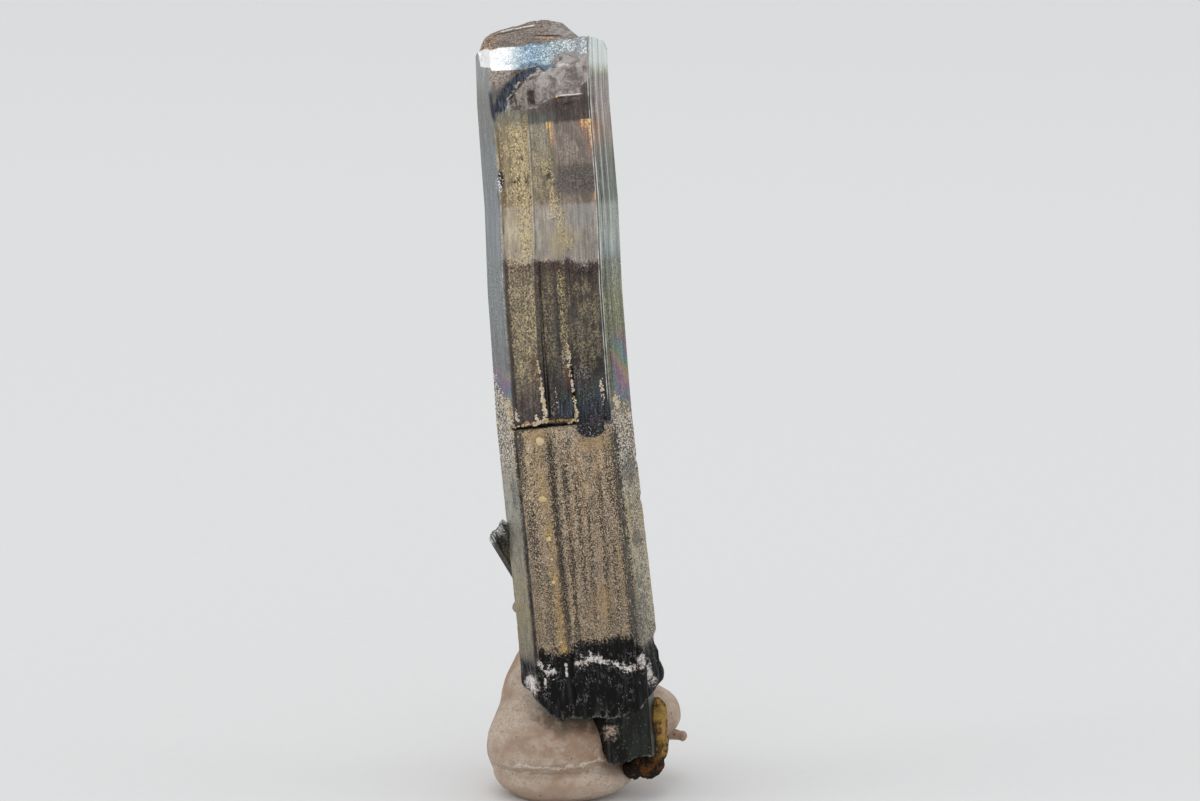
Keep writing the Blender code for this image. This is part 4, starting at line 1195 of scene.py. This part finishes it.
def coat_layer(p, tones):
    """The grainy coat of the lower half: its colour, its cover and how smooth it is on the left bevel."""
    u, s, fine, patchy, worm, front, moved = p.u, p.s, p.fine, p.patchy, p.worm, p.front, p.moved
    ragged = (noise(p.own, 1.6, 4.0, 0.65) - 0.5) * 5.0
    off_front = either(p.left, p.right, rise(p.v, 2.4, 3.4))
    climb = p.left * (u + 3.9) * -2.1 - p.right * 1.0
    coat_end = 23.1 + off_front * (1.4 + climb + ragged)
    cover = rise(s + (fine - 0.5) * 0.5 * off_front, coat_end + 0.10, coat_end - 0.14)
    smooth = p.left * rise(moved(patchy, 6.0, s), 20.4, 17.6)
    grainy = 1.0 - 0.80 * smooth - 0.36 * (rise(s, 18.0, 10.0) * front)
    # Salt and pepper: dark gaps between the grains, and glassy light ones.
    grit = noise(p.own, (11.0, 11.0, 9.0), 2.0, 0.7)
    sugar = either(
        p.left * rise(s, 18.5, 21.5),
        p.right * p.span(17.5, 25.5, 4.0),
        front * rise(s, 20.5, 22.8) * 0.30,
    )
    smudges = p.left * rise(patchy, 0.50, 0.60) * rise(s, 22.0, 18.0)
    # Where a streak is dense, only the highest grains stay light.
    drawn = []
    for above, below, width, low, high, dark in STREAKS:
        drift = moved(worm, 0.9, u - (s - low) * ((above - below) / (high - low)))
        drawn.append(stripe(drift, below, width * 1.5) * p.span(low, high, 3.0) * dark)
    streaks = either(*drawn) * front * (0.75 + 0.5 * rise(patchy, 0.40, 0.60))
    edge_line = stripe(u + (s - 12.0) * -0.012, -4.06, 0.34) * p.span(4.8, 23.0)
    patches = either(*[ellipse(u, s, *spot) * much for *spot, much in COAT_PATCHES])
    patches = rise(moved(fine, 2.5, moved(worm, 4.0, patches)), 0.10, 0.75) * p.ahead
    streak_at = moved(worm, 1.0, u + (s - 14.0) * 0.02)
    amber = stripe(streak_at, -2.16, 1.2) * p.span(4.0, 22.9, 1.6) * p.ahead
    pooled = noise(p.own, (1.6, 1.6, 0.45), 3.0, shift=(3.0, 7.0, 1.0)) + rise(s, 8.0, 5.0) * 0.12
    pooled = rise(pooled, 0.46, 0.60)
    golden = stripe(streak_at, -2.12, 0.50) * p.span(4.2, 15.4) * (0.35 + 0.65 * pooled) * p.ahead
    # Painted glints along the golden streak.
    glints = golden * rise(noise(p.own, (3.6, 3.6, 1.8), 3.0), 0.49, 0.60)
    halo = either(*[ellipse(u, s, *spot) * much for *spot, much in HALOES])
    # Darker towards the crack, just under it.
    darker_below_crack = either(
        within(u, -4.1, -3.2, 0.5) * rise(s, 21.6, 23.0) * 0.8,
        stripe(u, 0.2, 1.8) * rise(s, 22.3, 23.0) * 0.3,
    )
    colour = painted(
        coat_ground(p, tones),
        (rise(moved(patchy, 0.35, grit), 0.50, 0.40) * grainy * 0.88, (56, 50, 44)),
        (rise(grit, 0.53, 0.64) * grainy * 0.55, (204, 186, 160)),
        (rise(p.dots, 0.58, 0.68) * grainy * 0.70, (228, 214, 190)),
        (sugar * rise(fine, 0.50, 0.57) * 0.90, (214, 208, 198)),
        (sugar * rise(fine, 0.47, 0.41) * 0.85, (44, 40, 36)),
        (smudges * 0.40, (88, 86, 80)),
        (smooth * rise(p.scratch, 0.50, 0.62) * 0.18, (204, 202, 194)),
        (rise(grit - streaks * 0.20, 0.42, 0.34) * 0.88, (44, 41, 40)),
        (edge_line * (0.55 + 0.45 * rise(patchy, 0.42, 0.56)), (48, 46, 44)),
        (patches * 0.62, (66, 66, 66)),
        (amber * (0.30 + 0.36 * pooled), mottle(grit, 0.42, 0.58, (112, 92, 62), (174, 150, 108))),
        (glints * 0.75, mottle(p.dots, 0.46, 0.60, (156, 116, 58), (220, 186, 116))),
        (rise(moved(fine, 4.0, halo), 0.10, 0.90) * 0.50 * p.ahead, (164, 134, 90)),
        (darker_below_crack * rise(worm, 0.40, 0.56), (50, 46, 44)),
    )
    return colour, cover, smooth


def lath_ends(p):
    """The dark, bluish ends of the laths, rounded below: how much they cover, and their colour."""
    u, s = p.u, p.s
    ragged, more_ragged = p.moved(p.patchy, 1.2, s), p.moved(p.patchy, 1.4, s)
    left, right, low, _ = LATHS[3]

    def end_at(middle):
        off = (u - 0.5 * (left + right)) * (2.0 / (right - left))
        return middle + LATH_END_ROUND * off * off * abs(off)

    round_end = rise(s, end_at(low - 0.1), end_at(low + 0.05))
    cover = either(
        within(u, left, right, 0.10) * rise(ragged, 27.4, 25.2) * round_end,
        within(u, -0.45, 0.80, 0.10) * rise(ragged, 26.4, 24.6) * rise(s, 23.25, 23.4),
        within(u, 3.12, 3.60, 0.08) * rise(s, 25.2, 24.2) * rise(s, 22.7, 22.85) * 0.9,
        within(u, -3.9, -1.35, 0.20) * rise(more_ragged, 25.4, 23.6) * rise(s, 23.2, 23.3) * 0.6,
    ) * p.front
    # Painted glints, most at the laths' rounded lower ends.
    glints = rise(p.dots, 0.60, 0.68) * (0.40 + 0.60 * rise(s, 23.4, 22.4))
    return cover, painted(
        toned(calc("FRACT", p.broad * 1.2 + s * 0.26 + p.lengthwise * 0.6), LATH_TONES),
        (rise(s, 23.6, 22.4) * 0.8, (34, 32, 32)),
        (rise(p.scratch, 0.48, 0.40) * 0.70, (20, 20, 22)),
        (rise(p.scratch, 0.56, 0.66) * 0.40, (116, 116, 118)),
        (glints * 0.80, (172, 170, 168)),
    )


def crack_line(p, colour):
    """The crack below the laths, painted as a dark line of shadow under their overhang, with a rusty line
    over it.
    """
    wander = (noise(p.own, (1.6, 0.0, 0.0), 3.0) - 0.5) * 0.26
    # Painted shadow under the laths' overhang.
    crack = stripe(p.moved(p.fine, 0.10, p.s + wander), CRACK_AT, CRACK_WIDTH)
    crack = crack * within(p.u, *CRACK_ENDS, 0.2)
    rust = stripe(p.moved(p.worm, 0.30, p.s), 23.42, 0.30) * within(p.u, -3.2, 0.5, 0.4) * p.front
    rust = rust * rise(p.fine, 0.42, 0.56) * 0.8
    return painted(colour, (crack * p.front, (24, 20, 18)), (rust, (176, 138, 84)))


def broken_rim_highlight(own, u, s, colour, edge, where):
    """A thin, broken, painted highlight along a torn lower edge."""
    at = ramp(u, [(across, height * 0.25 + 0.25) for across, height in edge]) * 4.0 - 1.0
    ragged = noise(own, 2.2, 4.0, 0.7)
    line = rise(s - at + (ragged - 0.5) * 1.4, 0.26, 0.05) * rise(ragged, 0.46, 0.58) * where
    return painted(colour, (line * (0.34 + 0.40 * rise(u, 1.0, 2.6)), (146, 146, 142)))


def fresh_zone(p, colour):
    """The dark zone over the foot, with thin scratches, powdery smears and a painted highlight along its
    broken rim.
    """
    u, s, fine, moved = p.u, p.s, p.fine, p.moved
    torn = (noise(p.own, (1.4, 1.4, 0.3), 4.0, 0.65) - 0.5) * 1.6
    start = 5.30 + rise(u, -1.35, -0.95) * 0.75 + rise(u, -2.2, -3.8) * 0.20
    start = start - p.right * 0.9 - p.left * 1.1 + torn
    black = rise(moved(fine, 2.4, s), start + 0.26, start - 0.22)
    # Lighter streaks in the black: painted sheen.
    shine = noise(p.own, (3.2, 3.2, 0.55), 4.0, 0.65)
    cracks = rise(abs(noise(p.own, (2.2, 2.2, 1.4), 4.0, 0.7, 0.6) - 0.5), 0.014, 0.002)
    chips = rise(noise(p.own, (6.0, 6.0, 3.4), 3.0, 0.75, 0.8), 0.672, 0.72) * black
    powder = noise(p.own, (2.0, 2.0, 2.4), 5.0, 0.78, 0.5)
    smears = either(*[ellipse(u, s, *smear) for smear in SMEARS])
    smeared = rise(moved(powder, 6.4, smears), 0.05, 1.25) * rise(smears, -2.0, -0.6)
    middle = ramp(u, [(across, height / 8.0) for across, height, _ in POWDER_LINE]) * 8.0
    half = ramp(u, [(across, thick) for across, _, thick in POWDER_LINE])
    off = abs(moved(p.worm, 1.7, s) - middle)
    lined = rise(moved(powder, 1.9, half - off), -0.06, 0.26) * rise(half, 0.02, 0.10) * p.front
    smeared = either(smeared, lined) * p.ahead
    pinkish = noise(p.own, (1.3, 1.3, 1.6), 2.0, shift=(5.0, 2.0, 8.0))
    dust = mottle(pinkish, 0.46, 0.60, (212, 208, 205), (194, 181, 175))
    dust = painted(dust, (rise(fine, 0.46, 0.36) * 0.6, (112, 104, 100)))
    colour = painted(
        colour,
        (black, mottle(shine, 0.48, 0.76, (18, 17, 17), (46, 46, 46))),
        (cracks * black * rise(p.patchy, 0.50, 0.60) * 0.8, (150, 146, 142)),
        (chips * 0.85, (196, 182, 172)),
        (smeared * 0.94, dust),
    )
    return broken_rim_highlight(p.own, u, s, colour, FOOT_EDGE, p.front), black, smeared


def wall_relief(tree):
    """The finest relief: scratches above, grit on the coat, crumpled foil under the bright end face."""
    own = own_place(tree)
    u, v, s = parts(own)
    on_coat = rise(s, 23.6, 22.9) * rise(u, -4.6, -3.9)
    in_mass = within(u, -2.6, 3.2, 0.5) * within(s, 47.7, 50.9, 0.7) * rise(v, 0.8, 0.5)
    relief = noise(own, SCRATCHES, 3.0, 0.65) * 0.40 + noise(own, FINE, 3.0, 0.70) * (0.15 + 0.75 * on_coat)
    return relief + noise(own, *CRUMPLED) * 4.5 * in_mass


def crystal_material():
    """The long faces of the main crystal: tarnish above, grainy coat below, fresh dark foot."""
    material, tree, shader = start_material("stibnite_tarnished")
    p = Spot(tree)
    colour, side_tones = tarnish_bands(p)
    colour = film_colours(p, colour)
    speckled = yellow_specks(p)
    colour = with_specks(p, colour, speckled)
    # Painted copper reflections over the tarnish.
    copper_glints = painted_copper_reflections(p)
    colour = painted(colour, (copper_glints, mottle(copper_glints, 0.35, 0.85, (196, 126, 84), (255, 196, 128))))
    colour, mass = top_mass(p, with_patches(p, edge_lines(p, colour)))
    coat_colour, coat, smooth_left = coat_layer(p, side_tones)
    laths, lath_colour = lath_ends(p)
    colour = crack_line(p, painted(colour, (coat, coat_colour), (laths, lath_colour)))
    colour, black, smeared = fresh_zone(p, colour)

    # How the surface shines: mirror-like films above, dull grain below, powder duller still.
    mottled = rise(p.fine, 0.38, 0.64)
    rough = 0.32 + 0.12 * mottled - 0.10 * either(p.left, p.right)
    metal = 0.92 - 0.35 * speckled
    for mask, its_rough in (
        (speckled, 0.50),
        (mass, 0.36),
        (coat, 0.60 - 0.24 * smooth_left),
        (laths, 0.26),
        (black, 0.28 + 0.16 * mottled),
        (smeared, 0.90),
    ):
        rough = blend(mask, rough, its_rough)
    for mask, its_metal in (
        (coat, 0.45 + 0.30 * smooth_left),
        (either(laths, black), 0.85),
        (smeared, 0.0),
    ):
        metal = blend(mask, metal, its_metal)
    dress(shader, colour, rough, wall_relief(tree), 0.055, Metallic=metal)
    return material


# ------------------------------------------------------------------ the other materials


def bright_face(u, fine, dots, worm):
    """The bright end face: white at the left, then blue, then pale grey, with crystal glitter."""
    blue_part = rise(u, -2.8, -1.9)
    edge = mix(rise(dots, 0.62, 0.68) * 0.4, (1.0, 1.0, 1.0), (0.35, 0.35, 0.36))
    return painted(
        toned(u + (worm - 0.5) * 3.2 + (fine - 0.5) * 5.0, BAND_TONES, 1, glare),
        (rise(fine, 0.52, 0.62) * blue_part * 0.80, (232, 238, 240)),
        (rise(fine, 0.48, 0.40) * blue_part * 0.66, (72, 92, 116)),
        (rise(worm, 0.46, 0.40) * rise(u, -0.4, 0.8) * 0.28, (112, 112, 114)),
        (rise(dots, 0.62, 0.68) * (1.0 - blue_part) * 0.5, (150, 148, 146)),
        (rise(u, -3.8, -3.95), edge),
        shown_by=glare,
    )


def end_material():
    """The upper end: a bright blue and white face in front, a brown dome behind it."""
    material, tree, shader = start_material("stibnite_end")
    own = own_place(tree)
    u, v, s = parts(own)
    fine = noise(own, 7.6, 3.0, 0.70)
    dots = noise(own, 9.5, 1.5, 0.5)
    worm = noise(own, 2.0, 4.0, 0.62, 0.5)
    broad = noise(own, 0.8, 3.0, 0.55)
    brushed = noise(own, (0.7, 4.0, 4.0), 3.0, 0.6)
    # On the left bevel the same bright face goes on, as deep again as the bevel runs back.
    behind_edge = v + calc("MINIMUM", (u + 3.95) * 1.588, 0.0) + (worm - 0.5) * 0.22 + u * 0.0386
    bright = rise(behind_edge, 1.32, 1.24)
    greyish = rise(u + (broad - 0.5) * 5.0, 0.2, 1.8)
    # Painted copper glints at the dome's left corner.
    copper_glints = rise(u + (broad - 0.5) * 1.0, -3.0, -4.1) * rise(fine + (worm - 0.5) * 0.8, 0.48, 0.56)
    brown = painted(
        mottle(brushed, 0.42, 0.58, (106, 95, 88), (126, 115, 107)),
        (rise(worm, 0.42, 0.60) * 0.5, (128, 118, 110)),
        (greyish * 0.7, mottle(worm, 0.42, 0.58, (132, 124, 122), (164, 157, 157))),
        (rise(fine, 0.45, 0.37) * 0.85, (62, 53, 47)),
        (rise(fine, 0.55, 0.62) * 0.52, (190, 180, 174)),
        (copper_glints * 0.75, mottle(dots, 0.45, 0.60, (160, 108, 72), (238, 200, 166))),
        (rise(u, -3.0, -4.1) * rise(dots, 0.46, 0.38) * 0.6, (58, 40, 32)),
    )
    # The crumpled mass of the front reaches up over the bright face.
    bulge = rise(ellipse(u, s, 1.90, 50.5, 1.45, 1.45) + (worm - 0.5) * 1.6, 0.0, 0.30) * bright
    crumpled = mottle(worm, 0.42, 0.58, (118, 109, 105), (160, 152, 149), glare)
    crumpled = painted(crumpled, (rise(fine, 0.46, 0.38) * 0.4, (84, 76, 72)), shown_by=glare)
    # Height as it shows from in front, for the painted highlight and shade lines across the dome.
    shown = s + v * 0.098 + (worm - 0.5) * 0.24
    on_dome = 1.0 - bright
    # A notch painted as a dark line of shade, with painted ochre glints just under it.
    notch = stripe(shown + u * 0.10, 53.30, 0.17) * within(u, -0.7, 1.5, 0.5) * on_dome
    glint = stripe(shown + u * 0.10, 53.10, 0.14) * within(u, -0.4, 1.3, 0.5)
    glint = glint * rise(dots, 0.44, 0.56) * on_dome
    # A painted highlight along a ridge, with painted shade just under it.
    over_ridge = shown - (54.18 + (u + 0.8) * 0.17)
    gleam = stripe(over_ridge, 0.0, 0.13) * within(u, -3.2, -0.5, 0.5) * on_dome
    shade = stripe(over_ridge, -0.17, 0.15) * within(u, -3.4, -0.6, 0.5) * on_dome
    colour = painted(
        brown,
        (bright, bright_face(u, fine, dots, worm)),
        (bulge * 0.92, crumpled),
        (notch * 0.9, (40, 34, 32)),
        (glint * 0.85, (220, 176, 104)),
        (gleam * (0.4 + 0.6 * rise(fine, 0.42, 0.56)), (232, 228, 222)),
        (shade * 0.75, (62, 52, 46)),
    )
    rough = 0.40 - 0.16 * bright + 0.14 * rise(worm, 0.4, 0.7)
    dress(shader, colour, rough, brushed * 0.15 + fine * 0.5 + worm * 0.4, 0.045, Metallic=0.9)
    return material


def fresh_material(name, edge, dusty):
    """Fresh dark stibnite of a broken foot, with a painted highlight along its torn lower edge and an
    ellipse of clinging powder.
    """
    material, tree, shader = start_material(name)
    own = own_place(tree)
    u, v, s = parts(own)
    fine = noise(own, 7.0, 3.0, 0.68)
    ribs = noise(own, (1.8, 1.8, 0.35), 3.0, 0.55)
    worm = noise(own, 2.4, 4.0, 0.66, 0.5)
    # The face on the right gets a painted cool grey sheen.
    sheen = rise(u + (worm - 0.5) * 1.2, 0.10, 0.45)
    dust = rise(ellipse(u, s, *dusty) + (worm - 0.5) * 5.0, 0.05, 0.95) * rise(v, 1.2, 0.8)
    colour = painted(
        mottle(ribs, 0.44, 0.60, (24, 23, 22), (44, 45, 43)),
        (sheen * 0.45, (41, 44, 41)),
        (rise(fine, 0.60, 0.68) * 0.5, (128, 126, 122)),
        (dust * 0.80, mottle(fine, 0.42, 0.58, (112, 94, 82), (182, 160, 146))),
    )
    colour = broken_rim_highlight(own, u, s, colour, edge, rise(v, 2.2, 1.6))
    rough, metal = blend(dust, 0.26 + 0.2 * fine, 0.85), blend(dust, 0.88, 0.05)
    dress(shader, colour, rough, ribs * 0.3 + fine * 0.4, 0.045, Metallic=metal)
    return material


def side_material():
    """The little side crystal: dark and shiny, yellowish where it joins the coat."""
    material, tree, shader = start_material("stibnite_side_dark")
    own = own_place(tree)
    u, _, s = parts(own)
    fine = noise(own, (7.0, 7.0, 6.0), 3.0, 0.68)
    ribs = noise(own, (2.6, 2.6, 0.5), 4.0, 0.65, 0.3)
    # Darkest beside the main crystal, glassy with painted pale glints at the broken top, yellowish where it
    # joins the coat.
    near = rise(u + (ribs - 0.5) * 2.0, 0.05, 0.60) * within(s, 3.2, 5.9, 1.2)
    glassy = rise(s + u * -0.45 + (fine - 0.5) * 2.0, 5.75, 6.15)
    yellow = rise(s + u * -1.6 + (ribs - 0.5) * 5.0, 3.4, 2.2)
    colour = painted(
        mottle(ribs, 0.42, 0.60, (16, 15, 12), (58, 53, 42)),
        (rise(fine, 0.55, 0.66) * 0.50, (116, 106, 86)),
        (near * 0.75, mottle(fine, 0.46, 0.56, (16, 16, 14), (74, 80, 68))),
        (glassy * 0.70, mottle(ribs, 0.44, 0.56, (70, 70, 64), (214, 216, 212))),
        (yellow * 0.65, mottle(fine, 0.42, 0.58, (86, 72, 44), (164, 144, 98))),
    )
    relief = ribs * 0.6 + fine * 0.4
    dress(shader, colour, 0.30 + 0.25 * fine, relief, 0.05, Metallic=0.3, Specular_IOR_Level=0.25)
    return material


def ochre_material():
    """The crust: yellow above, rusty below and nearly black at its lower left."""
    material, tree, shader = start_material("ochre_rust")
    here = world_place(tree)
    x, _, z = parts(here)
    lumps = noise(here, 1.3, 4.0, 0.65)
    fine = noise(here, 5.0, 3.0, 0.7)
    dark = rise(x + (lumps - 0.5) * 2.4, 5.9, 5.2) * rise(z, 4.2, 3.4)
    colour = painted(
        mottle(lumps, 0.40, 0.62, (78, 56, 30), (158, 124, 62), seen),
        (
            rise(z + (lumps - 0.5) * 2.0, 4.4, 3.2),
            mottle(lumps, 0.46, 0.60, (20, 12, 6), (88, 50, 12), seen),
        ),
        (dark * 0.92, (26, 18, 14)),
        # Light specks, stronger higher up: painted highlights.
        (rise(fine, 0.56, 0.66) * (0.15 + 0.45 * rise(z, 3.2, 4.4)), (196, 158, 88)),
        (rise(fine, 0.40, 0.30) * 0.7, (34, 26, 18)),
        shown_by=seen,
    )
    dress(shader, colour, 0.45 + 0.5 * fine, fine * 0.6 + lumps * 0.4, 0.16, Specular_IOR_Level=0.2)
    return material


def putty_material():
    """Putty: cloudy beige, pinkish in the middle, grimy and with painted shadow under the crystal, with a
    painted highlight and shade along its fold, and dark specks.
    """
    material, tree, shader = start_material("putty_pinkish")
    here = world_place(tree)
    x, y, z = parts(here)
    cloudy = noise(here, (0.32, 0.32, 0.42), 4.0, 0.55)
    smudge = noise(here, (0.9, 0.9, 1.1), 4.0, 0.6, 0.6)
    fine = noise(here, 5.0, 3.0, 0.6)
    pink = rise(ellipse(x, z, 0.8, 5.0, 3.4, 2.2) + (smudge - 0.5) * 3.0, 0.0, 1.0) * rise(y, 1.5, 0.0)
    # Painted shadow, with some grime, under the crystal's foot.
    under = rise(ellipse(x, z, 0.6, 6.9, 3.6, 1.5) + (smudge - 0.5) * 3.5, 0.0, 1.0) * rise(y, 1.5, 0.0)
    fold = FOLD_HEIGHT + x * FOLD_TILT
    wavy = z + (smudge - 0.5) * 1.6
    # Along the fold: a painted highlight on its upper lip and painted shade in its crease.
    fold_highlight = stripe(wavy, fold + 0.48, 0.34) * rise(y, 0.0, -1.5) * within(x, -5.0, 3.5, 1.5)
    fold_shade = stripe(wavy, fold - 0.05, 0.38) * rise(y, 0.0, -1.5)
    wrinkled = rise(abs(noise(here, (0.5, 0.5, 2.2), 4.0, 0.65) - 0.5), 0.022, 0.004)
    specks = rise(cell_distance(here, 1.25), 0.16, 0.09)
    specks = specks * rise(noise(here, 0.8, 1.0, shift=(4.0, 0.0, 2.0)), 0.50, 0.56)
    colour = painted(
        mottle(cloudy, 0.36, 0.64, (157, 130, 109), (190, 174, 157), seen),
        (rise(smudge, 0.48, 0.66) * 0.24, (148, 121, 100)),
        (rise(smudge, 0.46, 0.34) * 0.20, (204, 193, 180)),
        (pink * 0.62, (148, 114, 88)),
        (rise(z, 2.6, 1.2) * 0.35, (188, 168, 152)),
        (under * 0.78, (94, 83, 70)),
        (fold_highlight * 0.70, (228, 214, 198)),
        (fold_shade * 0.36, (116, 94, 76)),
        (wrinkled * rise(cloudy, 0.48, 0.56) * 0.35, (124, 98, 78)),
        (specks * 0.75, (70, 58, 50)),
        (rise(fine + (cloudy - 0.5) * 0.5, 0.60, 0.68) * 0.5, (128, 106, 86)),
        shown_by=seen,
    )
    dress(
        shader, colour, 0.62 + 0.2 * fine, smudge * 0.7 + fine * 0.3, 0.12,
        Subsurface_Weight=0.12, Subsurface_Radius=(1.0, 0.6, 0.4), Subsurface_Scale=0.8 * MM,
    )
    return material


def cream_material(name, light, warm):
    """Pale grains, cream or golden."""
    material, tree, shader = start_material(name)
    here = world_place(tree)
    patchy = noise(here, 1.2, 3.0, 0.6)
    fine = noise(here, 9.0, 2.0, 0.6)
    colour = mottle(patchy, 0.42, 0.62, light, warm, seen)
    colour = painted(colour, (rise(fine, 0.44, 0.34) * 0.55, (132, 112, 86)), shown_by=seen)
    dress(shader, colour, 0.6 + 0.3 * fine, fine, 0.04)
    return material


def stage_material():
    """Plain pale paper for the floor."""
    material, tree, shader = start_material("paper_pale")
    fine = noise(world_place(tree), 0.9, 3.0, 0.6)
    colour = mix(fine, (0.765, 0.765, 0.765), (0.795, 0.795, 0.795))
    dress(shader, colour, 0.9, Specular_IOR_Level=0.1)
    return material


# ------------------------------------------------------------------ the pieces

wall, end, fresh = crystal_material(), end_material(), fresh_material("stibnite_fresh", FOOT_EDGE, FOOT_DUST)
crystal = main_crystal([wall, end, fresh])
stub = prism("stibnite_stub", fresh_material("stibnite_stub_dark", STUB["edge"], STUB_DUST), **STUB)
side = prism("stibnite_side", side_material(), **SIDE)
crust = ochre_crust(ochre_material())
putty_look = putty_material()
putty = putty_lump(putty_look)
nub = putty_nub(putty_look)
cream = cream_material("cream_grains_pale", (222, 209, 186), (202, 178, 138))
golden = cream_material("golden_grains", (226, 204, 162), (218, 192, 146))
grains = lump_cloud("cream_grains", deposit_spots(7), cream, 8)
nodules = lump_cloud("golden_nodules", [(a, h, r, 0.7) for a, h, r in NODULES], golden, 9)

for piece, slot_name in (
    (crystal, "stibnite"),
    (stub, "stibnite"),
    (side, "stibnite"),
    (crust, "ochre_crust"),
    (putty, "putty"),
    (nub, "putty"),
    (grains, "stibnite"),
    (nodules, "stibnite"),
):
    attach(piece, "root")
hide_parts("stibnite")
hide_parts("ochre_crust")
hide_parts("putty")

# ------------------------------------------------------------------ floor, light and camera


def floor_disc():
    """A wide pale floor."""
    bm = bmesh.new()
    bmesh.ops.create_circle(bm, cap_ends=True, segments=96, radius=FLOOR_RADIUS)
    mesh = bpy.data.meshes.new("floor")
    bm.to_mesh(mesh)
    bm.free()
    mesh.materials.append(stage_material())
    obj = in_scene("floor", mesh)


def area_light(name, azimuth, elevation, distance, size, power):
    """A square soft light. Azimuth 0 is in front, on the camera's side, and grows to the right."""
    turn, lift = math.radians(azimuth), math.radians(elevation)
    way = Vector((math.sin(turn) * math.cos(lift), -math.cos(turn) * math.cos(lift), math.sin(lift)))
    lamp = bpy.data.lights.new(name, "AREA")
    lamp.shape = "SQUARE"
    lamp.size = size
    lamp.energy = power
    obj = in_scene(name, lamp)
    obj.location = Vector(LIGHTS_AIM) + way * distance
    obj.rotation_euler = way.to_track_quat("Z", "Y").to_euler()


floor_disc()
for light in LIGHTS:
    area_light(*light)

world = bpy.data.worlds.new("studio")
bpy.context.scene.world = world
world.use_nodes = True
background = world.node_tree.nodes["Background"]
background.inputs["Color"].default_value = WORLD_COLOUR
background.inputs["Strength"].default_value = WORLD_STRENGTH

lens = bpy.data.cameras.new("camera")
lens.lens, lens.sensor_width = CAMERA_LENS, CAMERA_SENSOR
lens.clip_start, lens.clip_end = CAMERA_SEES
camera = in_scene("camera", lens)
lift = math.radians(CAMERA_ELEVATION)
back_and_up = Vector((0.0, -math.cos(lift), math.sin(lift)))
camera.location = Vector(CAMERA_TARGET) * MM + back_and_up * (CAMERA_DISTANCE * MM)
camera.rotation_euler = (math.radians(90.0 - CAMERA_ELEVATION), 0.0, 0.0)
bpy.context.scene.camera = camera
bpy.context.scene.view_settings.view_transform = "Standard"
